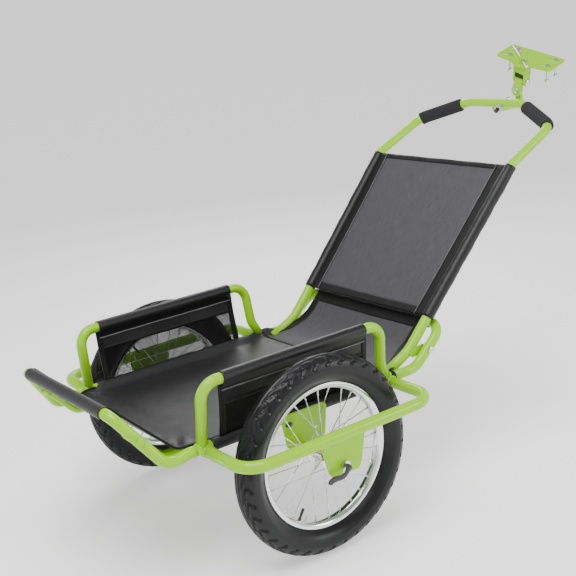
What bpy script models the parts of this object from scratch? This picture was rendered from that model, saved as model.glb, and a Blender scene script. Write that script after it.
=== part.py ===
"""Bike cargo trailer: two spoked wheels under a fabric bed, with a fold-over tongue and a rack hitch.

X runs from the front lip to the hitch, Y to the left wheel and Z up. Lengths are metres and are
measured from the wheels' axle line and from the floor, until the last step sets the origin under
the middle of the whole trailer.
"""

import bmesh
import bpy
from math import acos, asin, atan2, ceil, cos, hypot, pi, radians, sin, sqrt, tan
from mathutils import Matrix, Vector

# Clearances and mesh fineness
GAP = 0.0003
RUNNING_GAP = 0.0004
MERGE_DISTANCE = 0.00001
TUBE_SIDES = 10
ROUND_SIDES = 24
SMALL_SIDES = 12
HEXAGON_SIDES = 6
BEND_STEP = radians(14)

# Frame tubing
TUBE_RADIUS = 0.011
GUARD_TUBE_RADIUS = 0.012
SIDE_TUBE_Y = 0.228
BED_HEIGHT = 0.272
FRONT_SEAM_LEAD = 0.022
REAR_SEAM_LEAD = 0.003

# Front lip tube
LIP_LEAD = 0.015
LIP_KNEE_REACH = 0.060
LIP_KNEE_DROP = 0.010
LIP_TOP_REACH = 0.138
LIP_TOP_RISE = 0.100
LIP_HALF_WIDTH = 0.183
LIP_LEAD_BEND = 0.050
LIP_KNEE_BEND = 0.035
LIP_TOP_BEND = 0.030

# Rear loop tube
LOOP_KNEE_REACH = 0.075
LOOP_TOP_REACH = 0.162
LOOP_TOP_RISE = 0.073
LOOP_KNEE_BEND = 0.050
LOOP_TOP_BEND = 0.038

# Wall hoops
HOOP_FRONT_FOOT_LEAD = 0.008
HOOP_FRONT_TOP_LEAD = 0.004
HOOP_REAR_TOP_LAG = 0.027
HOOP_REAR_KNEE_LAG = 0.023
HOOP_REAR_KNEE_RISE = 0.040
HOOP_REAR_FOOT_LAG = 0.004
RAIL_RISE = 0.130
RAIL_LEAN = 0.017
HOOP_BEND = 0.035
HOOP_KNEE_BEND = 0.040

# Wheel guards
GUARD_FRONT_CLEARANCE = 0.015
GUARD_REAR_CLEARANCE = 0.037
GUARD_HALF_WIDTH = 0.368
GUARD_DROP = 0.006
GUARD_FRONT_BEND = 0.045
GUARD_REAR_BEND = 0.055

# Wheels
WHEEL_RADIUS = 0.203
TYRE_RADIUS = 0.0265
WHEEL_OFFSET = 0.0005
WHEEL_SEGMENTS = 48
TYRE_ARC_STEPS = 11
TYRE_ARC_START = radians(118)
RIM_EDGE_RADIUS = 0.1476
RIM_EDGE_HALF_WIDTH = 0.0125
RIM_EDGE_THICKNESS = 0.002
RIM_WELL_DEPTH = 0.007
RIM_DEPTH = 0.0131
RIM_BASE_HALF_WIDTH = 0.006
RIM_WAIST_DEPTH = 0.010
SPOKE_COUNT = 28
SPOKE_RADIUS = 0.001
SPOKE_SIDES = 4
SPOKE_SLANT = radians(52)
HUB_BODY_RADIUS = 0.011
HUB_FLANGE_RADIUS = 0.022
HUB_FLANGE_Y = 0.021
HUB_FLANGE_THICKNESS = 0.003
HUB_HALF_LENGTH = 0.033
HUB_END_RADIUS = 0.013
VALVE_RADIUS = 0.003
VALVE_LENGTH = 0.024
VALVE_ANGLE = radians(237.9)

# Axles, brackets and quick releases
AXLE_RADIUS = 0.0048
AXLE_NUT_RADIUS = 0.009
AXLE_NUT_LENGTH = 0.006
CONE_RADIUS = 0.008
BRACKET_THICKNESS = 0.004
BRACKET_TOP_RISE = 0.009
BRACKET_FRONT_X = -0.052
BRACKET_REAR_X = 0.062
BRACKET_WAIST_RISE = 0.012
BRACKET_BOTTOM_DROP = 0.013
BRACKET_CORNER = 0.010
BRACKET_LOBE_HALF_WIDTH = 0.018
PLATE_INSET = 0.005
PLATE_THICKNESS = 0.004
PLATE_FRONT_X = -0.052
PLATE_REAR_X = 0.055
PLATE_LOBE_FRONT_X = -0.037
PLATE_LOBE_REAR_X = 0.042
PLATE_LOBE_DROP = 0.007
PLATE_BOTTOM_DROP = 0.019
PLATE_CORNER = 0.008
SEAT_RADIUS = 0.009
SEAT_LENGTH = 0.006
LEVER_CAM_RADIUS = 0.0075
LEVER_LENGTH = 0.056
LEVER_WIDTH = 0.009
LEVER_THICKNESS = 0.006
LEVER_KNEE = 0.018
LEVER_DROP = radians(26.6)

# Fabric
SLEEVE_RADIUS = 0.0128
SLEEVE_BORE_RADIUS = 0.0116
BED_THICKNESS = 0.0016
BED_FRONT_HALF_WIDTH = 0.160
WALL_THICKNESS = 0.0020
WALL_FRONT_LAG = 0.044
WALL_REAR_LAG = 0.045
WALL_NOTCH_MARGIN = 0.003
SLING_HALF_WIDTH = 0.186
SLING_THICKNESS = 0.0014

BED_SLOPE_TOP_LAG = 0.024
BED_SLOPE_TOP_DROP = 0.0085
BED_SLOPE_FOOT_REACH = 0.022
BED_SLOPE_BEND = 0.030
BED_NARROW_REACH = 0.070
BED_NARROW_HALF_WIDTH = 0.190
SLING_SEAM_LAG = 0.003
SLING_LOW_REACH = 0.048
SLING_LOW_RISE = 0.015
SLING_HIGH_REACH = 0.102
SLING_HIGH_RISE = 0.033

# Bolts, the tongue's fold pivot and the stand's pivot
BOLT_RADIUS = 0.004
BOLT_HEAD_RADIUS = 0.008
BOLT_HEAD_LENGTH = 0.004
NUT_RADIUS = 0.007
NUT_LENGTH = 0.005
TONGUE_PIVOT_REACH = 0.038
STAND_PIVOT_DROP = 0.050

# Tongue
TONGUE_Y = 0.2025
TONGUE_FOOT_REACH = 0.013
TONGUE_FOOT_DROP = 0.001
TONGUE_KNEE_REACH = 0.005
TONGUE_KNEE_RISE = 0.029
TONGUE_OVER_LOOP = 0.04319
TONGUE_LEG_REACH = 0.332
TONGUE_NECK_Y = 0.2185
SHOULDER_REACH = 0.135
SHOULDER_Y = 0.213
SHOULDER_RISE = 0.062
BAR_REACH = 0.055
BAR_END_Y = 0.085
BAR_RISE = 0.040
TONGUE_KNEE_BEND = 0.100
TONGUE_NECK_BEND = 0.030
SHOULDER_BEND = 0.040
BAR_BEND = 0.050
EAR_MARGIN = 0.010
EAR_CORNER = 0.005
PANEL_START_SHARE = 0.178
PANEL_END_SHARE = 0.984
PANEL_THICKNESS = 0.0012
PANEL_SLEEVE_RADIUS = 0.0135
GRIP_RADIUS = 0.0158
GRIP_BORE_RADIUS = 0.0122
GRIP_INNER_END = 0.010

# Plunger on the handle bar
PLUNGER_Y = -0.022
PLUNGER_TILT = radians(-125.6)
PLUNGER_HEX_RADIUS = 0.0085
PLUNGER_HEX_LENGTH = 0.010
PLUNGER_STEM_RADIUS = 0.002
PLUNGER_KNOB_RADIUS = 0.0055
PLUNGER_KNOB_LENGTH = 0.010

# Hitch bracket, link, fork and rack plate
SOCKET_RADIUS = 0.012
SOCKET_DROP = 0.012
DOME_REACH = 0.044
DOME_RADIUS = 0.008
DOME_HEIGHT = 0.009
ROLL_RISE = 0.021
EAR_FACE_REACH = 0.0765
LINK_THICKNESS = 0.006
LINK_EAR_RADIUS = 0.016
LINK_NECK_HALF_WIDTH = 0.0115
LINK_LEAN = radians(18)
LINK_RISE = 0.024
LINK_OFFSET = 0.0085
STUB_TOP_RADIUS = 0.009
STUB_THICKNESS = 0.006
KNUCKLE_RADIUS = 0.009
KNUCKLE_HALF_LENGTH = 0.0142
FORK_LEAN = radians(-13)
FORK_ARM_RADIUS = 0.010
FORK_ARM_THICKNESS = 0.005
FORK_CROTCH = 0.0225
FORK_POST_RADIUS = 0.0085
FORK_POST_TOP = 0.062
PAD_HALF_DEPTH = 0.008
RACK_PLATE_RISE = 0.046
RACK_PLATE_THICKNESS = 0.0035
RACK_PLATE_LENGTH = 0.156
RACK_PLATE_WIDTH = 0.073
RACK_PLATE_REACH = 0.036
RACK_PLATE_CORNER = 0.009
RACK_PLATE_YAW = radians(9)
RACK_TONGUE_REACH = 0.019
RACK_TONGUE_HALF_WIDTH = 0.014
SLOT_HALF_WIDTH = 0.0036
SLOT_HALF_LENGTH = 0.015
SLOT_SPACING = 0.0365
SLOT_FAR_Y = 0.0585
SLOT_NEAR_Y = -0.053
RACK_HOLE_RADIUS = 0.004
RACK_HOLE_X = 0.051
CLAMP_BOLT_RADIUS = 0.003
CLAMP_HEAD_RADIUS = 0.0055
CLAMP_HEAD_LENGTH = 0.0033
CLAMP_BOLT_REACH = 0.032
CLAMP_FAR_Y = 0.0474
CLAMP_NEAR_Y = -0.061
ROD_RADIUS = 0.004
ROD_LENGTH = 0.114
ROD_RISE = 0.056
ROD_AZIMUTH = radians(-121.3)
ROD_SHIFT = 0.019

# Folding stand
STAND_TUBE_RADIUS = 0.0095
STAND_LEG_Y = 0.1745
STAND_BAR_LAG = 0.004
STAND_BAR_DROP = 0.0115
STAND_KNEE_REACH = 0.045
STAND_BAR_HALF_LENGTH = 0.203
STAND_CAP_RADIUS = 0.010
STAND_CAP_LENGTH = 0.006
STAND_KNEE_BEND = 0.030
STAND_HEAD_CLEARANCE = 0.0035

GREEN = ((0.36, 0.62, 0.03), 0.28, 0.0)
COATED_CLOTH = ((0.020, 0.020, 0.022), 0.55, 0.0)
MESH_CLOTH = ((0.085, 0.085, 0.090), 0.80, 0.0)
RUBBER = ((0.018, 0.018, 0.018), 0.70, 0.0)
FOAM = ((0.022, 0.022, 0.024), 0.90, 0.0)
CHROME = ((0.75, 0.75, 0.76), 0.15, 1.0)
STEEL = ((0.60, 0.60, 0.60), 0.30, 1.0)
BLACK_PLASTIC = ((0.015, 0.015, 0.015), 0.40, 0.0)

# The wheels stand between the side tubes and their guards, and the axle plates hang from the guards
WHEEL_Y = (SIDE_TUBE_Y + GUARD_HALF_WIDTH) / 2 + WHEEL_OFFSET
PLATE_Y = GUARD_HALF_WIDTH - PLATE_INSET
BRACKET_WAIST_Z = WHEEL_RADIUS + BRACKET_WAIST_RISE
BRACKET_BOTTOM_Z = WHEEL_RADIUS - BRACKET_BOTTOM_DROP
PLATE_LOBE_Z = WHEEL_RADIUS - PLATE_LOBE_DROP
PLATE_BOTTOM_Z = WHEEL_RADIUS - PLATE_BOTTOM_DROP

# Places along X that follow from the wheels: the guards clear the tyres and carry the rest
GUARD_FRONT_X = -WHEEL_RADIUS - GUARD_FRONT_CLEARANCE
GUARD_REAR_X = WHEEL_RADIUS + GUARD_REAR_CLEARANCE
FRONT_SEAM_X = GUARD_FRONT_X - FRONT_SEAM_LEAD
REAR_SEAM_X = GUARD_REAR_X + REAR_SEAM_LEAD
HOOP_FRONT_FOOT_X = GUARD_FRONT_X - HOOP_FRONT_FOOT_LEAD
HOOP_FRONT_TOP_X = GUARD_FRONT_X - HOOP_FRONT_TOP_LEAD
HOOP_REAR_TOP_X = GUARD_REAR_X - HOOP_REAR_TOP_LAG
HOOP_REAR_KNEE_X = GUARD_REAR_X - HOOP_REAR_KNEE_LAG
HOOP_REAR_FOOT_X = GUARD_REAR_X - HOOP_REAR_FOOT_LAG
WALL_FRONT_X = HOOP_FRONT_TOP_X + WALL_FRONT_LAG
WALL_REAR_X = HOOP_REAR_TOP_X - WALL_REAR_LAG
LIP_KNEE_X = FRONT_SEAM_X - LIP_KNEE_REACH
LIP_TOP_X = FRONT_SEAM_X - LIP_TOP_REACH
LOOP_KNEE_X = REAR_SEAM_X + LOOP_KNEE_REACH
LOOP_TOP_X = REAR_SEAM_X + LOOP_TOP_REACH
BED_SLOPE_TOP_X = LIP_TOP_X + BED_SLOPE_TOP_LAG
BED_SLOPE_FOOT_X = FRONT_SEAM_X - BED_SLOPE_FOOT_REACH
BED_NARROW_X = FRONT_SEAM_X - BED_NARROW_REACH
SLING_SEAM_X = REAR_SEAM_X - SLING_SEAM_LAG
SLING_LOW_X = REAR_SEAM_X + SLING_LOW_REACH
SLING_HIGH_X = REAR_SEAM_X + SLING_HIGH_REACH
STAND_BAR_X = FRONT_SEAM_X + STAND_BAR_LAG
STAND_KNEE_X = FRONT_SEAM_X - STAND_KNEE_REACH
TONGUE_FOOT_X = REAR_SEAM_X + TONGUE_FOOT_REACH
TONGUE_KNEE_X = LOOP_KNEE_X + TONGUE_KNEE_REACH
TONGUE_NECK_X = TONGUE_KNEE_X + TONGUE_LEG_REACH
SHOULDER_X = TONGUE_NECK_X + SHOULDER_REACH
BAR_X = SHOULDER_X + BAR_REACH
DOME_X = BAR_X + DOME_REACH
EAR_FACE_X = BAR_X + EAR_FACE_REACH

# Heights above the floor that follow from the bed's height and from the rises above it
LIP_TOP_HEIGHT = BED_HEIGHT + LIP_TOP_RISE
LOOP_TOP_HEIGHT = BED_HEIGHT + LOOP_TOP_RISE
HOOP_REAR_KNEE_HEIGHT = BED_HEIGHT + HOOP_REAR_KNEE_RISE
RAIL_HEIGHT = BED_HEIGHT + RAIL_RISE
GUARD_HEIGHT = BED_HEIGHT - GUARD_DROP
BRACKET_TOP_Z = BED_HEIGHT + BRACKET_TOP_RISE
BED_SLOPE_TOP_Z = LIP_TOP_HEIGHT - BED_SLOPE_TOP_DROP
SLING_LOW_Z = BED_HEIGHT + SLING_LOW_RISE
SLING_HIGH_Z = BED_HEIGHT + SLING_HIGH_RISE
STAND_BAR_Z = BED_HEIGHT - STAND_BAR_DROP

# The tongue's straight legs pass over the loop's crossbar, and the handle follows from their slope
TONGUE_FOOT_Z = BED_HEIGHT - TONGUE_FOOT_DROP
TONGUE_KNEE_Z = BED_HEIGHT + TONGUE_KNEE_RISE
TONGUE_SLOPE = (LOOP_TOP_HEIGHT + TONGUE_OVER_LOOP - TONGUE_KNEE_Z) / (LOOP_TOP_X - TONGUE_KNEE_X)
TONGUE_NECK_Z = TONGUE_KNEE_Z + TONGUE_SLOPE * (TONGUE_NECK_X - TONGUE_KNEE_X)
SHOULDER_Z = TONGUE_NECK_Z + SHOULDER_RISE
BAR_Z = SHOULDER_Z + BAR_RISE
SOCKET_Z = BAR_Z - SOCKET_DROP
ROLL_Z = BAR_Z + ROLL_RISE

# Turns the X-Y drawing plane to the trailer's X-Z plane, and to its Y-Z plane
DRAWN_IN_XZ = Matrix(((1, 0, 0, 0), (0, 0, -1, 0), (0, 1, 0, 0), (0, 0, 0, 1)))
DRAWN_IN_YZ = Matrix(((0, 0, 1, 0), (1, 0, 0, 0), (0, 1, 0, 0), (0, 0, 0, 1)))


def clear_scene():
    for item in list(bpy.data.objects):
        bpy.data.objects.remove(item, do_unlink=True)


def new_collection(name):
    collection = bpy.data.collections.new(name)
    bpy.context.scene.collection.children.link(collection)
    return collection


clear_scene()
PARTS = new_collection("bike_cargo_trailer")
CUTTERS = new_collection("cutters")
WORLD = {}


def material(name, look):
    """A Principled material with a colour, a roughness and a metallic value."""
    if name in bpy.data.materials:
        return bpy.data.materials[name]
    colour, roughness, metallic = look
    made = bpy.data.materials.new(name)
    made.use_nodes = True
    surface = made.node_tree.nodes["Principled BSDF"]
    surface.inputs["Base Color"].default_value = (*colour, 1.0)
    surface.inputs["Roughness"].default_value = roughness
    surface.inputs["Metallic"].default_value = metallic
    made.diffuse_color = (*colour, 1.0)
    return made


def pivot(name, matrix, parent=None):
    """An empty that carries a group of parts, at a place given in the axle frame."""
    empty = bpy.data.objects.new(name, None)
    PARTS.objects.link(empty)
    WORLD[name] = matrix
    attach(empty, parent, matrix)
    return empty


def attach(item, parent, matrix):
    item.parent = parent
    carrier = WORLD[parent.name] if parent else Matrix.Identity(4)
    item.matrix_basis = carrier.inverted() @ matrix


def new_part(name, data, look, parent, matrix=Matrix.Identity(4)):
    """One named part with its own material, carried by an empty."""
    part = bpy.data.objects.new(name, data)
    data.materials.clear()
    data.materials.append(material(name, look))
    PARTS.objects.link(part)
    attach(part, parent, matrix)
    WORLD[name] = matrix
    return part


def arc_at(before, corner, after, radius):
    """Points of the arc that rounds one corner of a path, from one straight run to the next."""
    first = (corner - before).normalized()
    second = (after - corner).normalized()
    turn = acos(max(-1.0, min(1.0, first.dot(second))))
    if radius <= 0.0 or turn < radians(0.5):
        return [corner]
    centre = corner + (second - first).normalized() * radius / cos(turn / 2)
    steps = max(2, ceil(turn / BEND_STEP))
    start = corner - first * radius * tan(turn / 2) - centre
    side = first * radius
    angles = [turn * step / steps for step in range(steps + 1)]
    return [centre + start * cos(angle) + side * sin(angle) for angle in angles]


def rounded_path(corners, radii):
    """An open path through its corners, each inner one rounded by its own radius."""
    corners = [Vector(corner) for corner in corners]
    points = [corners[0]]
    for before, corner, after, radius in zip(corners, corners[1:], corners[2:], radii):
        points += arc_at(before, corner, after, radius)
    return points + [corners[-1]]


def rounded_outline(corners, radius):
    """A closed outline in a plane, with every corner rounded by one radius."""
    corners = [Vector(corner) for corner in corners]
    points = []
    for index, corner in enumerate(corners):
        points += arc_at(corners[index - 1], corner, corners[(index + 1) % len(corners)], radius)
    return points


def mirrored(corners):
    """The corners on the right side, in the order that closes a path begun on the left side."""
    return [(x, -y, z) for x, y, z in reversed(corners)]


def circle(centre, radius, sides=ROUND_SIDES):
    angles = [2 * pi * step / sides for step in range(sides)]
    return [Vector((centre[0] + radius * cos(a), centre[1] + radius * sin(a))) for a in angles]


def curve_data(name, splines, cyclic, dimensions):
    curve = bpy.data.curves.new(name, "CURVE")
    curve.dimensions = dimensions
    for points in splines:
        spline = curve.splines.new("POLY")
        spline.points.add(len(points) - 1)
        for slot, point in zip(spline.points, points):
            slot.co = (*Vector(point).to_3d(), 1.0)
        spline.use_cyclic_u = cyclic
    return curve


def mesh_of_curve(curve):
    """The closed mesh of a curve, with its loose caps welded on."""
    helper = bpy.data.objects.new("helper", curve)
    CUTTERS.objects.link(helper)
    graph = bpy.context.evaluated_depsgraph_get()
    mesh = bpy.data.meshes.new_from_object(helper.evaluated_get(graph))
    bpy.data.objects.remove(helper, do_unlink=True)
    work = bmesh.new()
    work.from_mesh(mesh)
    bmesh.ops.remove_doubles(work, verts=work.verts, dist=MERGE_DISTANCE)
    bmesh.ops.recalc_face_normals(work, faces=work.faces)
    work.to_mesh(mesh)
    work.free()
    return mesh


def smooth(mesh, angle=radians(35)):
    mesh.shade_smooth()
    mesh.set_sharp_from_angle(angle=angle)
    return mesh


def tube_mesh(name, points, radius, sides=TUBE_SIDES, capped=True):
    """A round tube along a path, closed at both ends unless it is to be a sleeve."""
    curve = curve_data(name, [points], False, "3D")
    curve.bevel_depth = radius
    curve.bevel_resolution = (sides - 4) // 2
    curve.use_fill_caps = capped
    return smooth(mesh_of_curve(curve))


def flat_mesh(name, outline, thickness, holes=()):
    """A flat outline with holes, as thick as given and centred on its drawing plane."""
    curve = curve_data(name, [outline, *holes], True, "2D")
    curve.fill_mode = "BOTH"
    curve.extrude = thickness / 2
    return mesh_of_curve(curve)


def cylinder_mesh(name, start, end, radius, sides=ROUND_SIDES):
    """A round bar from one point to another."""
    start = Vector(start)
    run = Vector(end) - start
    turn = Vector((0, 0, 1)).rotation_difference(run).to_matrix().to_4x4()
    mesh = bpy.data.meshes.new(name)
    work = bmesh.new()
    bmesh.ops.create_cone(
        work,
        cap_ends=True,
        segments=sides,
        radius1=radius,
        radius2=radius,
        depth=run.length,
        matrix=Matrix.Translation(start + run / 2) @ turn,
    )
    work.to_mesh(mesh)
    work.free()
    return smooth(mesh)


def box_mesh(name, low, high):
    """A block between two opposite corners."""
    low = Vector(low)
    high = Vector(high)
    mesh = bpy.data.meshes.new(name)
    work = bmesh.new()
    size = Matrix.Diagonal((*(high - low), 1.0))
    bmesh.ops.create_cube(work, size=1.0, matrix=Matrix.Translation((low + high) / 2) @ size)
    work.to_mesh(mesh)
    work.free()
    return mesh


def joined_mesh(name, meshes):
    """One mesh that holds several solids, for a cutter or for a union."""
    work = bmesh.new()
    for mesh in meshes:
        work.from_mesh(mesh)
    made = bpy.data.meshes.new(name)
    work.to_mesh(made)
    work.free()
    return made


def turned_part(name, profile, closed, look, parent, matrix, segments=ROUND_SIDES):
    """A shape turned about its own Z from (radius, height) points that run down its outer side."""
    mesh = bpy.data.meshes.new(name)
    edges = [(index, index + 1) for index in range(len(profile) - 1)]
    if closed:
        edges.append((len(profile) - 1, 0))
    mesh.from_pydata([(radius, 0, height) for radius, height in profile], edges, [])
    part = new_part(name, mesh, look, parent, matrix)
    screw = part.modifiers.new("turned", "SCREW")
    screw.steps = segments
    screw.render_steps = segments
    screw.use_merge_vertices = True
    screw.merge_threshold = MERGE_DISTANCE
    screw.use_smooth_shade = True
    screw.use_normal_calculate = False
    return part


def new_cutter(name, mesh, matrix=Matrix.Identity(4)):
    cutter = bpy.data.objects.new(name, mesh)
    CUTTERS.objects.link(cutter)
    cutter.hide_render = True
    cutter.display_type = "WIRE"
    attach(cutter, ROOT, matrix)
    return cutter


def cut(part, cutter, operation="DIFFERENCE"):
    boolean = part.modifiers.new(cutter.name, "BOOLEAN")
    boolean.operation = operation
    boolean.object = cutter


def clear_radius(radius, sides=ROUND_SIDES):
    """The corner radius of a faceted bore whose flats clear a round bar by the gap."""
    return (radius + GAP) / cos(pi / sides)


def sleeve_outline(path, thickness, ring_at_start=False, ring_at_end=False):
    """The outline of a bent sheet, with a round sleeve at either end where one is asked for."""
    path = [Vector(point) for point in path]
    half = thickness / 2
    left = []
    right = []
    for index, point in enumerate(path):
        ahead = path[min(index + 1, len(path) - 1)] - path[max(index - 1, 0)]
        across = Vector((-ahead.y, ahead.x)).normalized() * half
        left.append(point + across)
        right.append(point - across)
    if ring_at_start:
        left[0:1] = []
        right[0:1] = reversed(ring_arc(path[0], path[1], half))
    if ring_at_end:
        left[-1:] = ring_arc(path[-1], path[-2], half)
        right[-1:] = []
    return left + right[::-1]


def ring_arc(centre, towards, half):
    """The sleeve's outer circle, open where the sheet of the given half thickness leaves it."""
    steps = 14
    middle = atan2(towards.y - centre.y, towards.x - centre.x)
    opening = asin(half / SLEEVE_RADIUS)
    sweep = 2 * pi - 2 * opening
    angles = [middle - opening - sweep * step / steps for step in range(steps + 1)]
    return [centre + Vector((cos(a), sin(a))) * SLEEVE_RADIUS for a in angles]


def lean(height):
    """How far from the middle a wall stands at a height above the floor."""
    return SIDE_TUBE_Y + RAIL_LEAN * (height - BED_HEIGHT) / (RAIL_HEIGHT - BED_HEIGHT)


ROOT = pivot("trailer", Matrix.Identity(4))

SIDES = {"left": 1, "right": -1}


def flip(points, sign):
    return [Vector((point[0], sign * point[1], point[2])) for point in points]


def outward(sign, centre):
    """A frame at a point on the axle line whose Z points away from the trailer's middle."""
    return Matrix.Translation(centre) @ Matrix.Rotation(-sign * radians(90), 4, "X")


LIP_LEFT = [
    (FRONT_SEAM_X, SIDE_TUBE_Y, BED_HEIGHT),
    (FRONT_SEAM_X - LIP_LEAD, SIDE_TUBE_Y, BED_HEIGHT),
    (LIP_KNEE_X, SIDE_TUBE_Y, BED_HEIGHT - LIP_KNEE_DROP),
    (LIP_TOP_X, LIP_HALF_WIDTH, LIP_TOP_HEIGHT),
]
LIP_RADII = [LIP_LEAD_BEND, LIP_KNEE_BEND, LIP_TOP_BEND]
LOOP_LEFT = [
    (REAR_SEAM_X, SIDE_TUBE_Y, BED_HEIGHT),
    (LOOP_KNEE_X, SIDE_TUBE_Y, BED_HEIGHT),
    (LOOP_TOP_X, SIDE_TUBE_Y, LOOP_TOP_HEIGHT),
]
LOOP_RADII = [LOOP_KNEE_BEND, LOOP_TOP_BEND]
HOOP_LEFT = [
    (HOOP_FRONT_FOOT_X, lean(BED_HEIGHT), BED_HEIGHT),
    (HOOP_FRONT_TOP_X, lean(RAIL_HEIGHT), RAIL_HEIGHT),
    (HOOP_REAR_TOP_X, lean(RAIL_HEIGHT), RAIL_HEIGHT),
    (HOOP_REAR_KNEE_X, lean(HOOP_REAR_KNEE_HEIGHT), HOOP_REAR_KNEE_HEIGHT),
    (HOOP_REAR_FOOT_X, lean(BED_HEIGHT), BED_HEIGHT),
]
GUARD_LEFT = [
    (GUARD_FRONT_X, SIDE_TUBE_Y, BED_HEIGHT),
    (GUARD_FRONT_X, GUARD_HALF_WIDTH, GUARD_HEIGHT),
    (GUARD_REAR_X, GUARD_HALF_WIDTH, GUARD_HEIGHT),
    (GUARD_REAR_X, SIDE_TUBE_Y, BED_HEIGHT),
]

# The tongue turns about bolts on the rear loop, the stand about bolts on the lip's legs
TONGUE_PIVOT_X = LOOP_KNEE_X + TONGUE_PIVOT_REACH
TONGUE_PIVOT_Z = BED_HEIGHT + TONGUE_PIVOT_REACH * (LOOP_TOP_HEIGHT - BED_HEIGHT) / (
    LOOP_TOP_X - LOOP_KNEE_X
)
STAND_SHARE = STAND_PIVOT_DROP / (LIP_TOP_HEIGHT - BED_HEIGHT + LIP_KNEE_DROP)
STAND_PIVOT_X = LIP_TOP_X + STAND_SHARE * (LIP_KNEE_X - LIP_TOP_X)
STAND_PIVOT_Y = LIP_HALF_WIDTH + STAND_SHARE * (SIDE_TUBE_Y - LIP_HALF_WIDTH)
STAND_PIVOT_Z = LIP_TOP_HEIGHT - STAND_PIVOT_DROP


def bolt_hole(name, x, z, radius, half_length):
    """A cutter across the whole trailer, for the bolts on both sides of it."""
    ends = [(x, -half_length, z), (x, half_length, z)]
    return new_cutter(name, cylinder_mesh(name, *ends, clear_radius(radius)))


def build_lip_and_loop():
    lip = rounded_path(LIP_LEFT + mirrored(LIP_LEFT), LIP_RADII + LIP_RADII[::-1])
    lip_tube = new_part("front_lip_tube", tube_mesh("front_lip_tube", lip, TUBE_RADIUS), GREEN, ROOT)
    cut(lip_tube, bolt_hole("stand_bolt_hole", STAND_PIVOT_X, STAND_PIVOT_Z, BOLT_RADIUS, SIDE_TUBE_Y))
    loop = rounded_path(LOOP_LEFT + mirrored(LOOP_LEFT), LOOP_RADII + LOOP_RADII[::-1])
    loop_tube = new_part("rear_loop_tube", tube_mesh("rear_loop_tube", loop, TUBE_RADIUS), GREEN, ROOT)
    past_tube = SIDE_TUBE_Y + 2 * TUBE_RADIUS
    cut(loop_tube, bolt_hole("tongue_bolt_hole", TONGUE_PIVOT_X, TONGUE_PIVOT_Z, BOLT_RADIUS, past_tube))


def build_side_frame(side, sign):
    """The side tube with its wall hoop and wheel guard, whose feet are coped onto it."""
    ends = flip([
        (FRONT_SEAM_X + GAP, SIDE_TUBE_Y, BED_HEIGHT),
        (REAR_SEAM_X - GAP, SIDE_TUBE_Y, BED_HEIGHT),
    ], sign)
    name = "side_tube_" + side
    new_part(name, tube_mesh(name, ends, TUBE_RADIUS), GREEN, ROOT)
    run = (ends[1] - ends[0]) * 0.2
    cope_radius = clear_radius(TUBE_RADIUS)
    cope = cylinder_mesh("cope", ends[0] - run, ends[1] + run, cope_radius)
    side_cutter = new_cutter("side_tube_cope_" + side, cope)

    guard = flip(GUARD_LEFT, sign)
    name = "wheel_guard_" + side
    path = rounded_path(guard, [GUARD_FRONT_BEND, GUARD_REAR_BEND])
    cut(new_part(name, tube_mesh(name, path, GUARD_TUBE_RADIUS), GREEN, ROOT), side_cutter)

    name = "wall_hoop_" + side
    path = rounded_path(flip(HOOP_LEFT, sign), [HOOP_BEND, HOOP_BEND, HOOP_KNEE_BEND])
    hoop = new_part(name, tube_mesh(name, path, TUBE_RADIUS), GREEN, ROOT)
    cut(hoop, side_cutter)
    for place, foot, corner in (("front", guard[0], guard[1]), ("rear", guard[3], guard[2])):
        beyond = foot + (foot - corner).normalized() * 2 * GUARD_TUBE_RADIUS
        cope = cylinder_mesh("cope", beyond, corner, clear_radius(GUARD_TUBE_RADIUS))
        cut(hoop, new_cutter("guard_cope_" + place + "_" + side, cope))


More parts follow.
